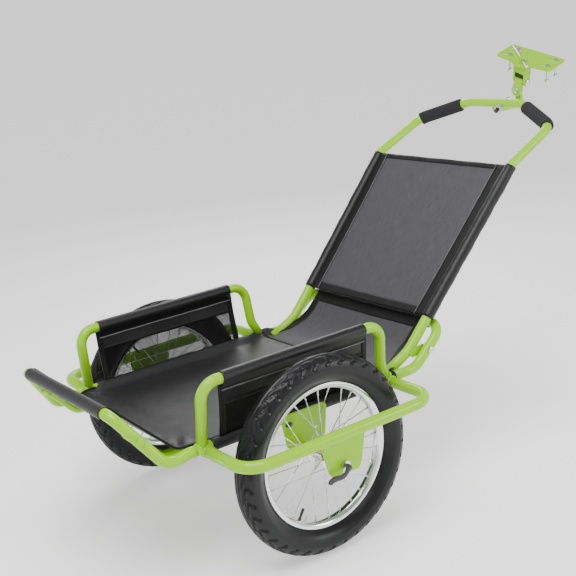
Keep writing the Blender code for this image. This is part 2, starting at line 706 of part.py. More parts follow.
def build_axle_group(side, sign):
    """The inner bracket, the outer plate, the axle between them and its cones."""
    inner_face = SIDE_TUBE_Y + TUBE_RADIUS + GAP
    outer_face = inner_face + BRACKET_THICKNESS
    bore = clear_radius(AXLE_RADIUS)
    outline = rounded_outline([
        (BRACKET_FRONT_X, BRACKET_TOP_Z),
        (BRACKET_REAR_X, BRACKET_TOP_Z),
        (BRACKET_REAR_X - BRACKET_CORNER, BRACKET_WAIST_Z),
        (BRACKET_LOBE_HALF_WIDTH, BRACKET_BOTTOM_Z),
        (-BRACKET_LOBE_HALF_WIDTH, BRACKET_BOTTOM_Z),
        (BRACKET_FRONT_X + BRACKET_CORNER, BRACKET_WAIST_Z),
    ], BRACKET_CORNER)
    name = "inner_bracket_" + side
    flat = flat_mesh(name, outline, BRACKET_THICKNESS, [circle((0, WHEEL_RADIUS), bore)])
    middle = sign * (inner_face + outer_face) / 2
    new_part(name, flat, GREEN, ROOT, Matrix.Translation((0, middle, 0)) @ DRAWN_IN_XZ)

    offset = max(0.0, abs(GUARD_HALF_WIDTH - PLATE_Y) - PLATE_THICKNESS / 2)
    top = GUARD_HEIGHT - sqrt((GUARD_TUBE_RADIUS + GAP) ** 2 - offset ** 2)
    lobes = rounded_outline([
        (PLATE_FRONT_X, top),
        (PLATE_REAR_X, top),
        (PLATE_LOBE_REAR_X, PLATE_LOBE_Z),
        (PLATE_LOBE_REAR_X - PLATE_CORNER, PLATE_BOTTOM_Z),
        (PLATE_LOBE_FRONT_X + PLATE_CORNER, PLATE_BOTTOM_Z),
        (PLATE_LOBE_FRONT_X, PLATE_LOBE_Z),
    ], PLATE_CORNER / 2)
    name = "outer_axle_plate_" + side
    turned = Matrix.Translation((0, sign * PLATE_Y, 0)) @ DRAWN_IN_XZ
    plate = new_part(name, flat_mesh(name, lobes, PLATE_THICKNESS), GREEN, ROOT, turned)
    half_slot = [
        Vector((bore * cos(a), WHEEL_RADIUS + bore * sin(a)))
        for a in [pi * step / 8 for step in range(9)]
    ]
    foot = PLATE_BOTTOM_Z - PLATE_CORNER
    slot = half_slot + [Vector((-bore, foot)), Vector((bore, foot))]
    slot_mesh = flat_mesh("slot", slot, 3 * PLATE_THICKNESS)
    cut(plate, new_cutter("dropout_slot_" + side, slot_mesh, turned))

    frame = outward(sign, (0, 0, WHEEL_RADIUS))
    plate_outside = PLATE_Y + PLATE_THICKNESS / 2
    seat = plate_outside + GAP
    nut = inner_face - GAP
    turned_part("axle_" + side, [
        (0, seat + SEAT_LENGTH),
        (SEAT_RADIUS, seat + SEAT_LENGTH),
        (SEAT_RADIUS, seat),
        (AXLE_RADIUS, seat),
        (AXLE_RADIUS, nut),
        (AXLE_NUT_RADIUS, nut),
        (AXLE_NUT_RADIUS, nut - AXLE_NUT_LENGTH),
        (0, nut - AXLE_NUT_LENGTH),
    ], False, STEEL, ROOT, frame)
    hub_reach = HUB_HALF_LENGTH + RUNNING_GAP
    spans = {
        "outer": (PLATE_Y - PLATE_THICKNESS / 2 - GAP, WHEEL_Y + hub_reach),
        "inner": (WHEEL_Y - hub_reach, outer_face + GAP),
    }
    for place, (high, low) in spans.items():
        ring = [(bore, high), (CONE_RADIUS, high), (CONE_RADIUS, low), (bore, low)]
        turned_part("axle_cone_" + place + "_" + side, ring, True, STEEL, ROOT, frame)


def build_wheel(side, sign):
    """A spoked wheel on its hub, all carried by an empty on the axle line."""
    matrix = outward(sign, (0, sign * WHEEL_Y, WHEEL_RADIUS))
    carrier = pivot("wheel_" + side + "_pivot", matrix, ROOT)

    def turned(name, profile, look, segments):
        return turned_part(name + "_" + side, profile, True, look, carrier, matrix, segments)

    bead = RIM_EDGE_RADIUS + GAP
    angles = [TYRE_ARC_START * (1 - 2 * step / TYRE_ARC_STEPS) for step in range(TYRE_ARC_STEPS + 1)]
    crown = WHEEL_RADIUS - TYRE_RADIUS
    tyre = [(crown + TYRE_RADIUS * cos(a), TYRE_RADIUS * sin(a)) for a in angles]
    tyre = [(bead, RIM_EDGE_HALF_WIDTH)] + tyre + [(bead, -RIM_EDGE_HALF_WIDTH)]
    turned("tyre", tyre, RUBBER, WHEEL_SEGMENTS)

    lip = RIM_EDGE_HALF_WIDTH - RIM_EDGE_THICKNESS
    well = lip - RIM_EDGE_THICKNESS
    base = RIM_EDGE_RADIUS - RIM_DEPTH
    upper = [
        (RIM_EDGE_RADIUS - RIM_WAIST_DEPTH, RIM_EDGE_HALF_WIDTH),
        (RIM_EDGE_RADIUS, RIM_EDGE_HALF_WIDTH),
        (RIM_EDGE_RADIUS, lip),
        (RIM_EDGE_RADIUS - RIM_WELL_DEPTH, well),
    ]
    lower = [(radius, -height) for radius, height in reversed(upper)]
    base_edge = [(base, -RIM_BASE_HALF_WIDTH), (base, RIM_BASE_HALF_WIDTH)]
    turned("rim", upper + lower + base_edge, CHROME, WHEEL_SEGMENTS)

    bore = clear_radius(AXLE_RADIUS)
    flange_top = HUB_FLANGE_Y + HUB_FLANGE_THICKNESS / 2
    flange_foot = HUB_FLANGE_Y - HUB_FLANGE_THICKNESS / 2
    shoulder = HUB_FLANGE_Y - 2 * HUB_FLANGE_THICKNESS
    upper = [
        (bore, HUB_HALF_LENGTH),
        (HUB_END_RADIUS, HUB_HALF_LENGTH),
        (HUB_END_RADIUS, flange_top + HUB_FLANGE_THICKNESS),
        (HUB_FLANGE_RADIUS, flange_top),
        (HUB_FLANGE_RADIUS, flange_foot),
        (HUB_BODY_RADIUS, shoulder),
    ]
    lower = [(radius, -height) for radius, height in reversed(upper)]
    hub = turned("spoked_hub", upper + lower, CHROME, ROUND_SIDES)

    inside = base * cos(pi / WHEEL_SEGMENTS)
    spoke_foot = HUB_FLANGE_RADIUS - 2 * SPOKE_RADIUS
    spoke_head = inside - GAP - SPOKE_RADIUS / 2
    spokes = []
    for index in range(SPOKE_COUNT):
        flange = 1 if index % 2 else -1
        head_angle = 2 * pi * index / SPOKE_COUNT
        foot_angle = head_angle - flange * SPOKE_SLANT
        foot = (spoke_foot * cos(foot_angle), spoke_foot * sin(foot_angle), flange * HUB_FLANGE_Y)
        head = (spoke_head * cos(head_angle), spoke_head * sin(head_angle), flange * 2 * SPOKE_RADIUS)
        spokes.append(cylinder_mesh("spoke", foot, head, SPOKE_RADIUS, SPOKE_SIDES))
    laced = new_cutter("spokes_" + side, joined_mesh("spokes", spokes), matrix)
    cut(hub, laced, "UNION")

    turn = Vector((cos(VALVE_ANGLE), sin(VALVE_ANGLE), 0))
    start = inside - 2 * GAP
    name = "valve_" + side
    stem = cylinder_mesh(name, turn * start, turn * (start - VALVE_LENGTH), VALVE_RADIUS, SMALL_SIDES)
    new_part(name, stem, BLACK_PLASTIC, carrier, matrix)


def build_quick_release(side, sign):
    """The lever whose round cam presses on the axle's outer seat."""
    reach = PLATE_Y + PLATE_THICKNESS / 2 + 2 * GAP + SEAT_LENGTH + LEVER_CAM_RADIUS
    along = Vector((-cos(LEVER_DROP), 0, -sin(LEVER_DROP)))
    out = Vector((0, sign, 0))
    turn = Matrix((along, out, along.cross(out))).transposed().to_4x4()
    matrix = Matrix.Translation((0, sign * reach, WHEEL_RADIUS)) @ turn
    carrier = pivot("quick_release_" + side + "_pivot", matrix, ROOT)
    cam = [
        Vector((LEVER_CAM_RADIUS * cos(a), LEVER_CAM_RADIUS * sin(a)))
        for a in [pi / 2 + pi * step / 8 for step in range(9)]
    ]
    arm = rounded_path([
        (LEVER_CAM_RADIUS / 2, -LEVER_CAM_RADIUS),
        (LEVER_KNEE, 0),
        (LEVER_LENGTH, -LEVER_THICKNESS / 2),
        (LEVER_LENGTH, LEVER_THICKNESS / 2),
        (LEVER_KNEE, LEVER_THICKNESS),
        (LEVER_CAM_RADIUS / 2, LEVER_CAM_RADIUS),
    ], [LEVER_THICKNESS / 3] * 4)
    name = "quick_release_lever_" + side
    new_part(name, flat_mesh(name, cam + arm, LEVER_WIDTH), BLACK_PLASTIC, carrier, matrix)


def build_walls(side, sign):
    """The wall cloth: a sleeve on the rail, a sheet, and a sleeve on the side tube."""
    low = (sign * SIDE_TUBE_Y, BED_HEIGHT)
    high = (sign * lean(RAIL_HEIGHT), RAIL_HEIGHT)
    outline = sleeve_outline([low, high], WALL_THICKNESS, True, True)
    holes = [circle(low, SLEEVE_BORE_RADIUS), circle(high, SLEEVE_BORE_RADIUS)]
    name = "wall_fabric_" + side
    flat = flat_mesh(name, outline, WALL_REAR_X - WALL_FRONT_X, holes)
    middle = Matrix.Translation(((WALL_FRONT_X + WALL_REAR_X) / 2, 0, 0))
    wall = new_part(name, flat, COATED_CLOTH, ROOT, middle @ DRAWN_IN_YZ)
    notch = box_mesh(
        "notch",
        (BRACKET_FRONT_X - WALL_NOTCH_MARGIN, SIDE_TUBE_Y + TUBE_RADIUS / 2, BED_HEIGHT - 2 * SLEEVE_RADIUS),
        (BRACKET_REAR_X + WALL_NOTCH_MARGIN, SIDE_TUBE_Y + 2 * SLEEVE_RADIUS,
         BRACKET_TOP_Z + WALL_NOTCH_MARGIN),
    )
    turn = Matrix.Diagonal((1, sign, 1, 1))
    if sign < 0:
        notch.flip_normals()
    notch.transform(turn)
    cut(wall, new_cutter("bracket_notch_" + side, notch))


def build_bed():
    """The coated bed: a sleeve on the lip's crossbar, a slope and the flat floor."""
    bed_half_width = SIDE_TUBE_Y - SLEEVE_RADIUS - GAP
    slope = [
        (LIP_TOP_X, LIP_TOP_HEIGHT),
        (BED_SLOPE_TOP_X, BED_SLOPE_TOP_Z),
        (BED_SLOPE_FOOT_X, BED_HEIGHT),
        (SLING_SEAM_X - GAP / 2, BED_HEIGHT),
    ]
    path = rounded_path([Vector(point) for point in slope], [BED_SLOPE_BEND / 3, BED_SLOPE_BEND])
    outline = sleeve_outline(path, BED_THICKNESS, ring_at_start=True)
    hole = circle((LIP_TOP_X, LIP_TOP_HEIGHT), SLEEVE_BORE_RADIUS)
    flat = flat_mesh("bed_fabric", outline, 2 * bed_half_width, [hole])
    bed = new_part("bed_fabric", flat, COATED_CLOTH, ROOT, DRAWN_IN_XZ)
    clear_x = LIP_TOP_X - 2 * SLEEVE_RADIUS
    for side, sign in SIDES.items():
        edge = [
            (clear_x, BED_FRONT_HALF_WIDTH),
            (BED_SLOPE_TOP_X, BED_FRONT_HALF_WIDTH),
            (BED_NARROW_X, BED_NARROW_HALF_WIDTH),
            (FRONT_SEAM_X, bed_half_width),
            (FRONT_SEAM_X, SIDE_TUBE_Y),
            (clear_x, SIDE_TUBE_Y),
        ]
        plan = [Vector((x, sign * y)) for x, y in edge]
        wedge = flat_mesh("wedge", plan, 2 * LIP_TOP_HEIGHT)
        cut(bed, new_cutter("bed_corner_" + side, wedge, Matrix.Translation((0, 0, LIP_TOP_HEIGHT))))


def build_sling():
    """The mesh that rises from the bed's rear seam to a sleeve on the loop's crossbar."""
    path = [
        (SLING_SEAM_X + GAP / 2, BED_HEIGHT),
        (SLING_LOW_X, SLING_LOW_Z),
        (SLING_HIGH_X, SLING_HIGH_Z),
        (LOOP_TOP_X, LOOP_TOP_HEIGHT),
    ]
    outline = sleeve_outline(path, SLING_THICKNESS, ring_at_end=True)
    hole = circle((LOOP_TOP_X, LOOP_TOP_HEIGHT), SLEEVE_BORE_RADIUS)
    flat = flat_mesh("rear_sling", outline, 2 * SLING_HALF_WIDTH, [hole])
    new_part("rear_sling", flat, MESH_CLOTH, ROOT, DRAWN_IN_XZ)


TONGUE_LEFT = [
    (TONGUE_FOOT_X, TONGUE_Y, TONGUE_FOOT_Z),
    (TONGUE_KNEE_X, TONGUE_Y, TONGUE_KNEE_Z),
    (TONGUE_NECK_X, TONGUE_NECK_Y, TONGUE_NECK_Z),
    (SHOULDER_X, SHOULDER_Y, SHOULDER_Z),
    (BAR_X, BAR_END_Y, BAR_Z),
]
TONGUE_RADII = [TONGUE_KNEE_BEND, TONGUE_NECK_BEND, SHOULDER_BEND, BAR_BEND]
TONGUE = pivot("tongue_pivot", Matrix.Translation((TONGUE_PIVOT_X, 0, TONGUE_PIVOT_Z)), ROOT)


def build_tongue():
    path = rounded_path(TONGUE_LEFT + mirrored(TONGUE_LEFT), TONGUE_RADII + TONGUE_RADII[::-1])
    new_part("tongue_tube", tube_mesh("tongue_tube", path, TUBE_RADIUS), GREEN, TONGUE)
    build_panel()
    for side, sign in SIDES.items():
        build_tongue_foot(side, sign)
        build_grip(side, sign)


def build_tongue_foot(side, sign):
    """The flat ear that joins a tongue leg to its pivot bolt on the rear loop, and the bolt."""
    outside = SIDE_TUBE_Y - TUBE_RADIUS - GAP
    inside = TONGUE_Y + TUBE_RADIUS + 3 * GAP
    slope = atan2(TONGUE_NECK_Z - TONGUE_KNEE_Z, TONGUE_NECK_X - TONGUE_KNEE_X)
    up = Vector((cos(slope), sin(slope)))
    knee = Vector((TONGUE_KNEE_X, TONGUE_KNEE_Z))
    bolt = Vector((TONGUE_PIVOT_X, TONGUE_PIVOT_Z))
    ear = rounded_outline([
        knee - Vector((EAR_MARGIN, 0)),
        knee + Vector((0, -EAR_MARGIN)),
        bolt + Vector((EAR_MARGIN / 2, -EAR_MARGIN)),
        bolt + Vector((EAR_MARGIN, 0)),
        bolt + Vector((0, EAR_MARGIN)),
        knee + up * 1.5 * EAR_MARGIN,
    ], EAR_CORNER)
    hole = circle(bolt, clear_radius(BOLT_RADIUS))
    name = "tongue_ear_" + side
    turned = Matrix.Translation((0, sign * (inside + outside) / 2, 0)) @ DRAWN_IN_XZ
    new_part(name, flat_mesh(name, ear, outside - inside, [hole]), GREEN, TONGUE, turned)

    head = SIDE_TUBE_Y + TUBE_RADIUS + GAP
    frame = outward(sign, (TONGUE_PIVOT_X, 0, TONGUE_PIVOT_Z))
    bolt_part("tongue_bolt_" + side, head, inside - GAP, ROOT, frame)


def on_leg(share, sign):
    """A point on the tongue's straight leg, at a share of its run from knee to neck."""
    knee = Vector((TONGUE_KNEE_X, sign * TONGUE_Y, TONGUE_KNEE_Z))
    neck = Vector((TONGUE_NECK_X, sign * TONGUE_NECK_Y, TONGUE_NECK_Z))
    return knee.lerp(neck, share)


def build_panel():
    """The mesh panel between the tongue's legs, with a sleeve round each leg."""
    low = on_leg(PANEL_START_SHARE, 1)
    high = on_leg(PANEL_END_SHARE, 1)
    slope = atan2(high.z - low.z, high.x - low.x)
    length = hypot(high.x - low.x, high.z - low.z)
    seam = (PANEL_SLEEVE_RADIUS + SLEEVE_BORE_RADIUS) / 2
    outline = [
        Vector((-low.y + seam, 0)),
        Vector((low.y - seam, 0)),
        Vector((high.y - seam, length)),
        Vector((-high.y + seam, length)),
    ]
    across = Vector((0, 1, 0))
    along = Vector((cos(slope), 0, sin(slope)))
    turn = Matrix((across, along, across.cross(along))).transposed().to_4x4()
    matrix = Matrix.Translation((low.x, 0, low.z)) @ turn
    flat = flat_mesh("mesh_panel", outline, PANEL_THICKNESS)
    panel = new_part("mesh_panel", flat, MESH_CLOTH, TONGUE, matrix)
    for side, sign in SIDES.items():
        start = on_leg(PANEL_START_SHARE, sign)
        run = on_leg(PANEL_END_SHARE, sign) - start
        turn = Vector((0, 0, 1)).rotation_difference(run).to_matrix().to_4x4()
        bore = circle((0, 0), SLEEVE_BORE_RADIUS)
        sleeve = flat_mesh("sleeve", circle((0, 0), PANEL_SLEEVE_RADIUS), run.length, [bore])
        place = Matrix.Translation(start + run / 2) @ turn
        cut(panel, new_cutter("panel_sleeve_" + side, sleeve, place), "UNION")


def build_grip(side, sign):
    """A foam grip round the bend at the shoulder and the slope of the handle."""
    neck, shoulder, bar = flip(TONGUE_LEFT[2:], sign)
    bend = arc_at(neck, shoulder, bar, SHOULDER_BEND)
    last = arc_at(shoulder, bar, Vector((BAR_X, 0, BAR_Z)), BAR_BEND)[0]
    path = bend[len(bend) // 2 :] + [last - (last - shoulder).normalized() * GRIP_INNER_END]
    name = "grip_" + side
    grip = new_part(name, tube_mesh(name, path, GRIP_RADIUS, SMALL_SIDES), FOAM, TONGUE)
    start = path[0] + (path[0] - path[1])
    end = path[-1] + (path[-1] - path[-2]).normalized() * GRIP_RADIUS
    bore = tube_mesh("bore", [start] + path + [end], GRIP_BORE_RADIUS, SMALL_SIDES)
    cut(grip, new_cutter("grip_bore_" + side, bore))


def build_plunger():
    """The spring plunger on the handle bar: a fixed hexagon and a knob that pulls out."""
    matrix = Matrix.Translation((BAR_X, PLUNGER_Y, BAR_Z)) @ Matrix.Rotation(PLUNGER_TILT, 4, "Y")
    foot = TUBE_RADIUS + GAP
    bore = circle((0, 0), clear_radius(PLUNGER_STEM_RADIUS), SMALL_SIDES)
    hexagon = circle((0, 0), PLUNGER_HEX_RADIUS, HEXAGON_SIDES)
    flat = flat_mesh("plunger_hexagon", hexagon, PLUNGER_HEX_LENGTH, [bore])
    place = matrix @ Matrix.Translation((0, 0, foot + PLUNGER_HEX_LENGTH / 2))
    new_part("plunger_hexagon", flat, STEEL, TONGUE, place)
    carrier = pivot("plunger_pivot", matrix, TONGUE)
    base = foot + PLUNGER_HEX_LENGTH + GAP
    turned_part("plunger_knob", [
        (0, base + PLUNGER_KNOB_LENGTH),
        (PLUNGER_KNOB_RADIUS * 0.7, base + PLUNGER_KNOB_LENGTH),
        (PLUNGER_KNOB_RADIUS, base + PLUNGER_KNOB_LENGTH * 0.8),
        (PLUNGER_KNOB_RADIUS, base),
        (PLUNGER_STEM_RADIUS, base),
        (PLUNGER_STEM_RADIUS, foot + GAP),
        (0, foot + GAP),
    ], False, BLACK_PLASTIC, carrier, matrix, SMALL_SIDES)


def build_hitch():
    """The bracket on the bar, the link that rolls on it, the fork that pitches, and the rack plate."""
    build_hitch_bracket()
    roll_x = EAR_FACE_X + LINK_THICKNESS / 2
    link_frame = Matrix.Translation((roll_x, 0, ROLL_Z)) @ Matrix.Rotation(LINK_LEAN, 4, "X")
    link = pivot("hitch_roll_pivot", link_frame, TONGUE)
    build_link(link, link_frame)
    fork_frame = (
        link_frame
        @ Matrix.Translation((LINK_OFFSET, 0, LINK_RISE))
        @ Matrix.Rotation(FORK_LEAN, 4, "Y")
    )
    fork = pivot("hitch_pitch_pivot", fork_frame, link)
    build_fork(fork, fork_frame)
    plate_frame = (
        fork_frame
        @ Matrix.Translation((0, 0, RACK_PLATE_RISE))
        @ Matrix.Rotation(RACK_PLATE_YAW, 4, "Z")
    )
    build_rack_plate(pivot("hitch_swivel_pivot", plate_frame, fork), plate_frame)


def build_hitch_bracket():
    """A socket from the bar to an upright stub, with the roll bolt through both stub and link."""
    stub_face = EAR_FACE_X + LINK_THICKNESS + GAP
    stub_back = stub_face + STUB_THICKNESS
    start = (BAR_X + GAP, 0, SOCKET_Z)
    end = (stub_back - LINK_THICKNESS / 3, 0, SOCKET_Z)
    bracket = new_part(
        "hitch_bracket", cylinder_mesh("hitch_bracket", start, end, SOCKET_RADIUS), GREEN, TONGUE
    )
    half_round = [
        Vector((STUB_TOP_RADIUS * cos(a), ROLL_Z + STUB_TOP_RADIUS * sin(a)))
        for a in [pi * step / 10 for step in range(11)]
    ]
    stub = half_round + [Vector((-STUB_TOP_RADIUS, SOCKET_Z)), Vector((STUB_TOP_RADIUS, SOCKET_Z))]
    hole = circle((0, ROLL_Z), clear_radius(BOLT_RADIUS))
    stub_mesh = flat_mesh("stub", stub, STUB_THICKNESS, [hole])
    place = Matrix.Translation(((stub_face + stub_back) / 2, 0, 0)) @ DRAWN_IN_YZ
    cut(bracket, new_cutter("hitch_stub", stub_mesh, place), "UNION")
    bar_ends = [(BAR_X, -BAR_END_Y, BAR_Z), (BAR_X, BAR_END_Y, BAR_Z)]
    bar_cope = cylinder_mesh("bar_cope", *bar_ends, clear_radius(TUBE_RADIUS))
    cut(bracket, new_cutter("bar_cope", bar_cope))

    base = SOCKET_Z + SOCKET_RADIUS + GAP
    turned_part("hitch_dome_nut", [
        (0, DOME_HEIGHT),
        (DOME_RADIUS * 0.5, DOME_HEIGHT * 0.9),
        (DOME_RADIUS * 0.8, DOME_HEIGHT * 0.6),
        (DOME_RADIUS * 0.9, DOME_HEIGHT * 0.3),
        (DOME_RADIUS, DOME_HEIGHT * 0.2),
        (DOME_RADIUS, 0),
        (0, 0),
    ], False, STEEL, TONGUE, Matrix.Translation((DOME_X, 0, base)), SMALL_SIDES)

    head = LINK_THICKNESS / 2 + GAP
    nut = -LINK_THICKNESS / 2 - 2 * GAP - STUB_THICKNESS
    matrix = Matrix.Translation((EAR_FACE_X + LINK_THICKNESS / 2, 0, ROLL_Z)) @ Matrix.Rotation(
        radians(-90), 4, "Y"
    )
    bolt_part("roll_bolt", head, nut, TONGUE, matrix)


def bolt_part(name, head, nut, parent, matrix):
    """A bolt along its frame's Z: a domed head above, a round shank and a nut below."""
    turned_part(name, [
        (0, head + BOLT_HEAD_LENGTH),
        (BOLT_HEAD_RADIUS / 2, head + BOLT_HEAD_LENGTH),
        (BOLT_HEAD_RADIUS, head + BOLT_HEAD_LENGTH / 2),
        (BOLT_HEAD_RADIUS, head),
        (BOLT_RADIUS, head),
        (BOLT_RADIUS, nut),
        (NUT_RADIUS, nut),
        (NUT_RADIUS, nut - NUT_LENGTH),
        (0, nut - NUT_LENGTH),
    ], False, STEEL, parent, matrix, SMALL_SIDES)


def build_link(carrier, frame):
    """A flat ear on the roll bolt whose neck carries the round knuckle of the pitch bolt."""
    lower = [
        Vector((LINK_EAR_RADIUS * cos(a), LINK_EAR_RADIUS * sin(a)))
        for a in [pi + pi * step / 12 for step in range(13)]
    ]
    shoulder = LINK_RISE - KNUCKLE_RADIUS / 2
    top = LINK_RISE + KNUCKLE_RADIUS / 4
    upper = [
        Vector((LINK_NECK_HALF_WIDTH, shoulder)),
        Vector((LINK_NECK_HALF_WIDTH, top)),
        Vector((-LINK_NECK_HALF_WIDTH, top)),
        Vector((-LINK_NECK_HALF_WIDTH, shoulder)),
    ]
    hole = circle((0, 0), clear_radius(BOLT_RADIUS))
    flat = flat_mesh("hitch_link", lower + upper, LINK_THICKNESS, [hole])
    link = new_part("hitch_link", flat, GREEN, carrier, frame @ DRAWN_IN_YZ)
    middle = Vector((LINK_OFFSET, 0, LINK_RISE))
    half = Vector((0, KNUCKLE_HALF_LENGTH, 0))
    knuckle = cylinder_mesh("knuckle", middle - half, middle + half, KNUCKLE_RADIUS)
    cut(link, new_cutter("link_knuckle", knuckle, frame), "UNION")
    bore = cylinder_mesh("bore", middle - 2 * half, middle + 2 * half, clear_radius(BOLT_RADIUS))
    cut(link, new_cutter("knuckle_bore", bore, frame))


def build_fork(carrier, frame):
    """Two arms on the pitch bolt, a bridge above them and a post for the rack plate."""
    inner = KNUCKLE_HALF_LENGTH + GAP
    outer = inner + FORK_ARM_THICKNESS
    bridge_top = RACK_PLATE_RISE - RACK_PLATE_THICKNESS / 2 - GAP
    bridge = box_mesh(
        "hitch_fork",
        (-FORK_ARM_RADIUS - GAP, -outer, FORK_CROTCH),
        (FORK_ARM_RADIUS + GAP, outer, bridge_top),
    )
    fork = new_part("hitch_fork", bridge, GREEN, carrier, frame)
    arm = [
        Vector((FORK_ARM_RADIUS * cos(a), FORK_ARM_RADIUS * sin(a)))
        for a in [pi + pi * step / 12 for step in range(13)]
    ]
    arm_top = (FORK_CROTCH + bridge_top) / 2
    arm += [Vector((FORK_ARM_RADIUS, arm_top)), Vector((-FORK_ARM_RADIUS, arm_top))]
    hole = circle((0, 0), clear_radius(BOLT_RADIUS))
    for side, sign in SIDES.items():
        arm_mesh = flat_mesh("arm", arm, FORK_ARM_THICKNESS - GAP, [hole])
        middle = Matrix.Translation((0, sign * (inner + outer - GAP) / 2, 0))
        cut(fork, new_cutter("fork_arm_" + side, arm_mesh, frame @ middle @ DRAWN_IN_XZ), "UNION")
    post = cylinder_mesh("post", (0, 0, arm_top), (0, 0, FORK_POST_TOP), FORK_POST_RADIUS)
    cut(fork, new_cutter("fork_post", post, frame), "UNION")

    along = Vector((cos(ROD_AZIMUTH), sin(ROD_AZIMUTH), 0))
    centre = Vector((0, 0, ROD_RISE)) - along * ROD_SHIFT
    half = along * ROD_LENGTH / 2
    bore = cylinder_mesh("rod_bore", centre - half, centre + half, clear_radius(ROD_RADIUS))
    cut(fork, new_cutter("rod_bore", bore, frame))
    rod = cylinder_mesh("swivel_rod", centre - half, centre + half, ROD_RADIUS, SMALL_SIDES)
    new_part("swivel_rod", rod, STEEL, carrier, frame)

    pad = box_mesh(
        "fork_pad",
        (-PAD_HALF_DEPTH, -KNUCKLE_HALF_LENGTH, KNUCKLE_RADIUS + 2 * GAP),
        (PAD_HALF_DEPTH, KNUCKLE_HALF_LENGTH, FORK_CROTCH - GAP),
    )
    new_part("fork_pad", pad, BLACK_PLASTIC, carrier, frame)
    turn = Matrix.Rotation(radians(90), 4, "X")
    bolt_part("pitch_bolt", outer + GAP, -outer - GAP, carrier, frame @ turn)


def build_rack_plate(carrier, frame):
    """The slotted plate that bolts to a bicycle's rack, on the fork's post."""
    near = RACK_PLATE_REACH - RACK_PLATE_WIDTH / 2
    far = RACK_PLATE_REACH + RACK_PLATE_WIDTH / 2
    half = RACK_PLATE_LENGTH / 2
    outline = rounded_outline([
        (far, -half),
        (far, half),
        (near, half),
        (near - RACK_TONGUE_REACH / 4, 2 * RACK_TONGUE_HALF_WIDTH),
        (near - RACK_TONGUE_REACH, RACK_TONGUE_HALF_WIDTH),
        (near - RACK_TONGUE_REACH, -RACK_TONGUE_HALF_WIDTH),
        (near - RACK_TONGUE_REACH / 4, -2 * RACK_TONGUE_HALF_WIDTH),
        (near, -half),
    ], RACK_PLATE_CORNER)
    rows = [RACK_PLATE_REACH - SLOT_SPACING / 2, RACK_PLATE_REACH + SLOT_SPACING / 2]
    holes = [
        circle((0, 0), clear_radius(FORK_POST_RADIUS)),
        circle((RACK_HOLE_X, 0), RACK_HOLE_RADIUS, SMALL_SIDES),
    ]
    for x in rows:
        for y in (SLOT_FAR_Y, SLOT_NEAR_Y):
            holes.append(slot_outline(x, y))
    flat = flat_mesh("rack_plate", outline, RACK_PLATE_THICKNESS, holes)
    new_part("rack_plate", flat, GREEN, carrier, frame)
    head = RACK_PLATE_THICKNESS / 2 + GAP
    places = [(x, y) for x in rows for y in (CLAMP_FAR_Y, CLAMP_NEAR_Y)]
    for number, (x, y) in enumerate(places, 1):
        turned_part("clamp_bolt_" + str(number), [
            (0, head + CLAMP_HEAD_LENGTH),
            (CLAMP_HEAD_RADIUS, head + CLAMP_HEAD_LENGTH),
            (CLAMP_HEAD_RADIUS, head),
            (CLAMP_BOLT_RADIUS, head),
            (CLAMP_BOLT_RADIUS, -CLAMP_BOLT_REACH),
            (CLAMP_HEAD_RADIUS, -CLAMP_BOLT_REACH - CLAMP_BOLT_RADIUS / 2),
            (CLAMP_HEAD_RADIUS, -CLAMP_BOLT_REACH - 2 * CLAMP_BOLT_RADIUS),
            (CLAMP_BOLT_RADIUS, -CLAMP_BOLT_REACH - 2.5 * CLAMP_BOLT_RADIUS),
            (0, -CLAMP_BOLT_REACH - 2.5 * CLAMP_BOLT_RADIUS),
        ], False, STEEL, carrier, frame @ Matrix.Translation((x, y, 0)), SMALL_SIDES)


def slot_outline(x, y):
    """A slot with round ends that runs along the rack plate's length."""
    reach = SLOT_HALF_LENGTH - SLOT_HALF_WIDTH
    points = []
    for end, first in ((1, 0), (-1, pi)):
        for a in [first + pi * step / 6 for step in range(7)]:
            points.append(Vector((x + SLOT_HALF_WIDTH * cos(a), y + end * reach + SLOT_HALF_WIDTH * sin(a))))
    return points


def build_stand():
    """The folding stand under the bed's front: a crossbar and two bent legs on pivot bolts."""
    matrix = Matrix.Translation((STAND_PIVOT_X, 0, STAND_PIVOT_Z))
    carrier = pivot("stand_pivot", matrix, ROOT)
    middle = Vector((STAND_BAR_X, 0, STAND_BAR_Z))
    half = Vector((0, STAND_BAR_HALF_LENGTH, 0))
    bar = tube_mesh("stand_tube", [middle - half, middle + half], STAND_TUBE_RADIUS)
    stand = new_part("stand_tube", bar, GREEN, carrier)
    for side, sign in SIDES.items():
        foot = Vector((STAND_BAR_X, sign * STAND_LEG_Y, STAND_BAR_Z))
        knee = Vector((STAND_KNEE_X, sign * STAND_LEG_Y, STAND_BAR_Z))
        top = Vector((STAND_PIVOT_X, sign * STAND_LEG_Y, STAND_PIVOT_Z))
        beyond = top + (top - knee).normalized() * STAND_TUBE_RADIUS
        leg = tube_mesh("leg", rounded_path([foot, knee, beyond], [STAND_KNEE_BEND]), STAND_TUBE_RADIUS)
        cut(stand, new_cutter("stand_leg_" + side, leg), "UNION")
    cut(stand, bolt_hole("stand_hole", STAND_PIVOT_X, STAND_PIVOT_Z, BOLT_RADIUS, SIDE_TUBE_Y))
    for side, sign in SIDES.items():
        start = sign * (STAND_BAR_HALF_LENGTH + GAP)
        end = start + sign * STAND_CAP_LENGTH
        ends = [(STAND_BAR_X, start, STAND_BAR_Z), (STAND_BAR_X, end, STAND_BAR_Z)]
        name = "stand_cap_" + side
        new_part(name, cylinder_mesh(name, *ends, STAND_CAP_RADIUS, SMALL_SIDES), BLACK_PLASTIC, carrier)
        head = STAND_PIVOT_Y + TUBE_RADIUS + STAND_HEAD_CLEARANCE
        nut = STAND_LEG_Y - STAND_TUBE_RADIUS - GAP
        frame = outward(sign, (STAND_PIVOT_X, 0, STAND_PIVOT_Z))
        bolt_part("stand_bolt_" + side, head, nut, ROOT, frame)


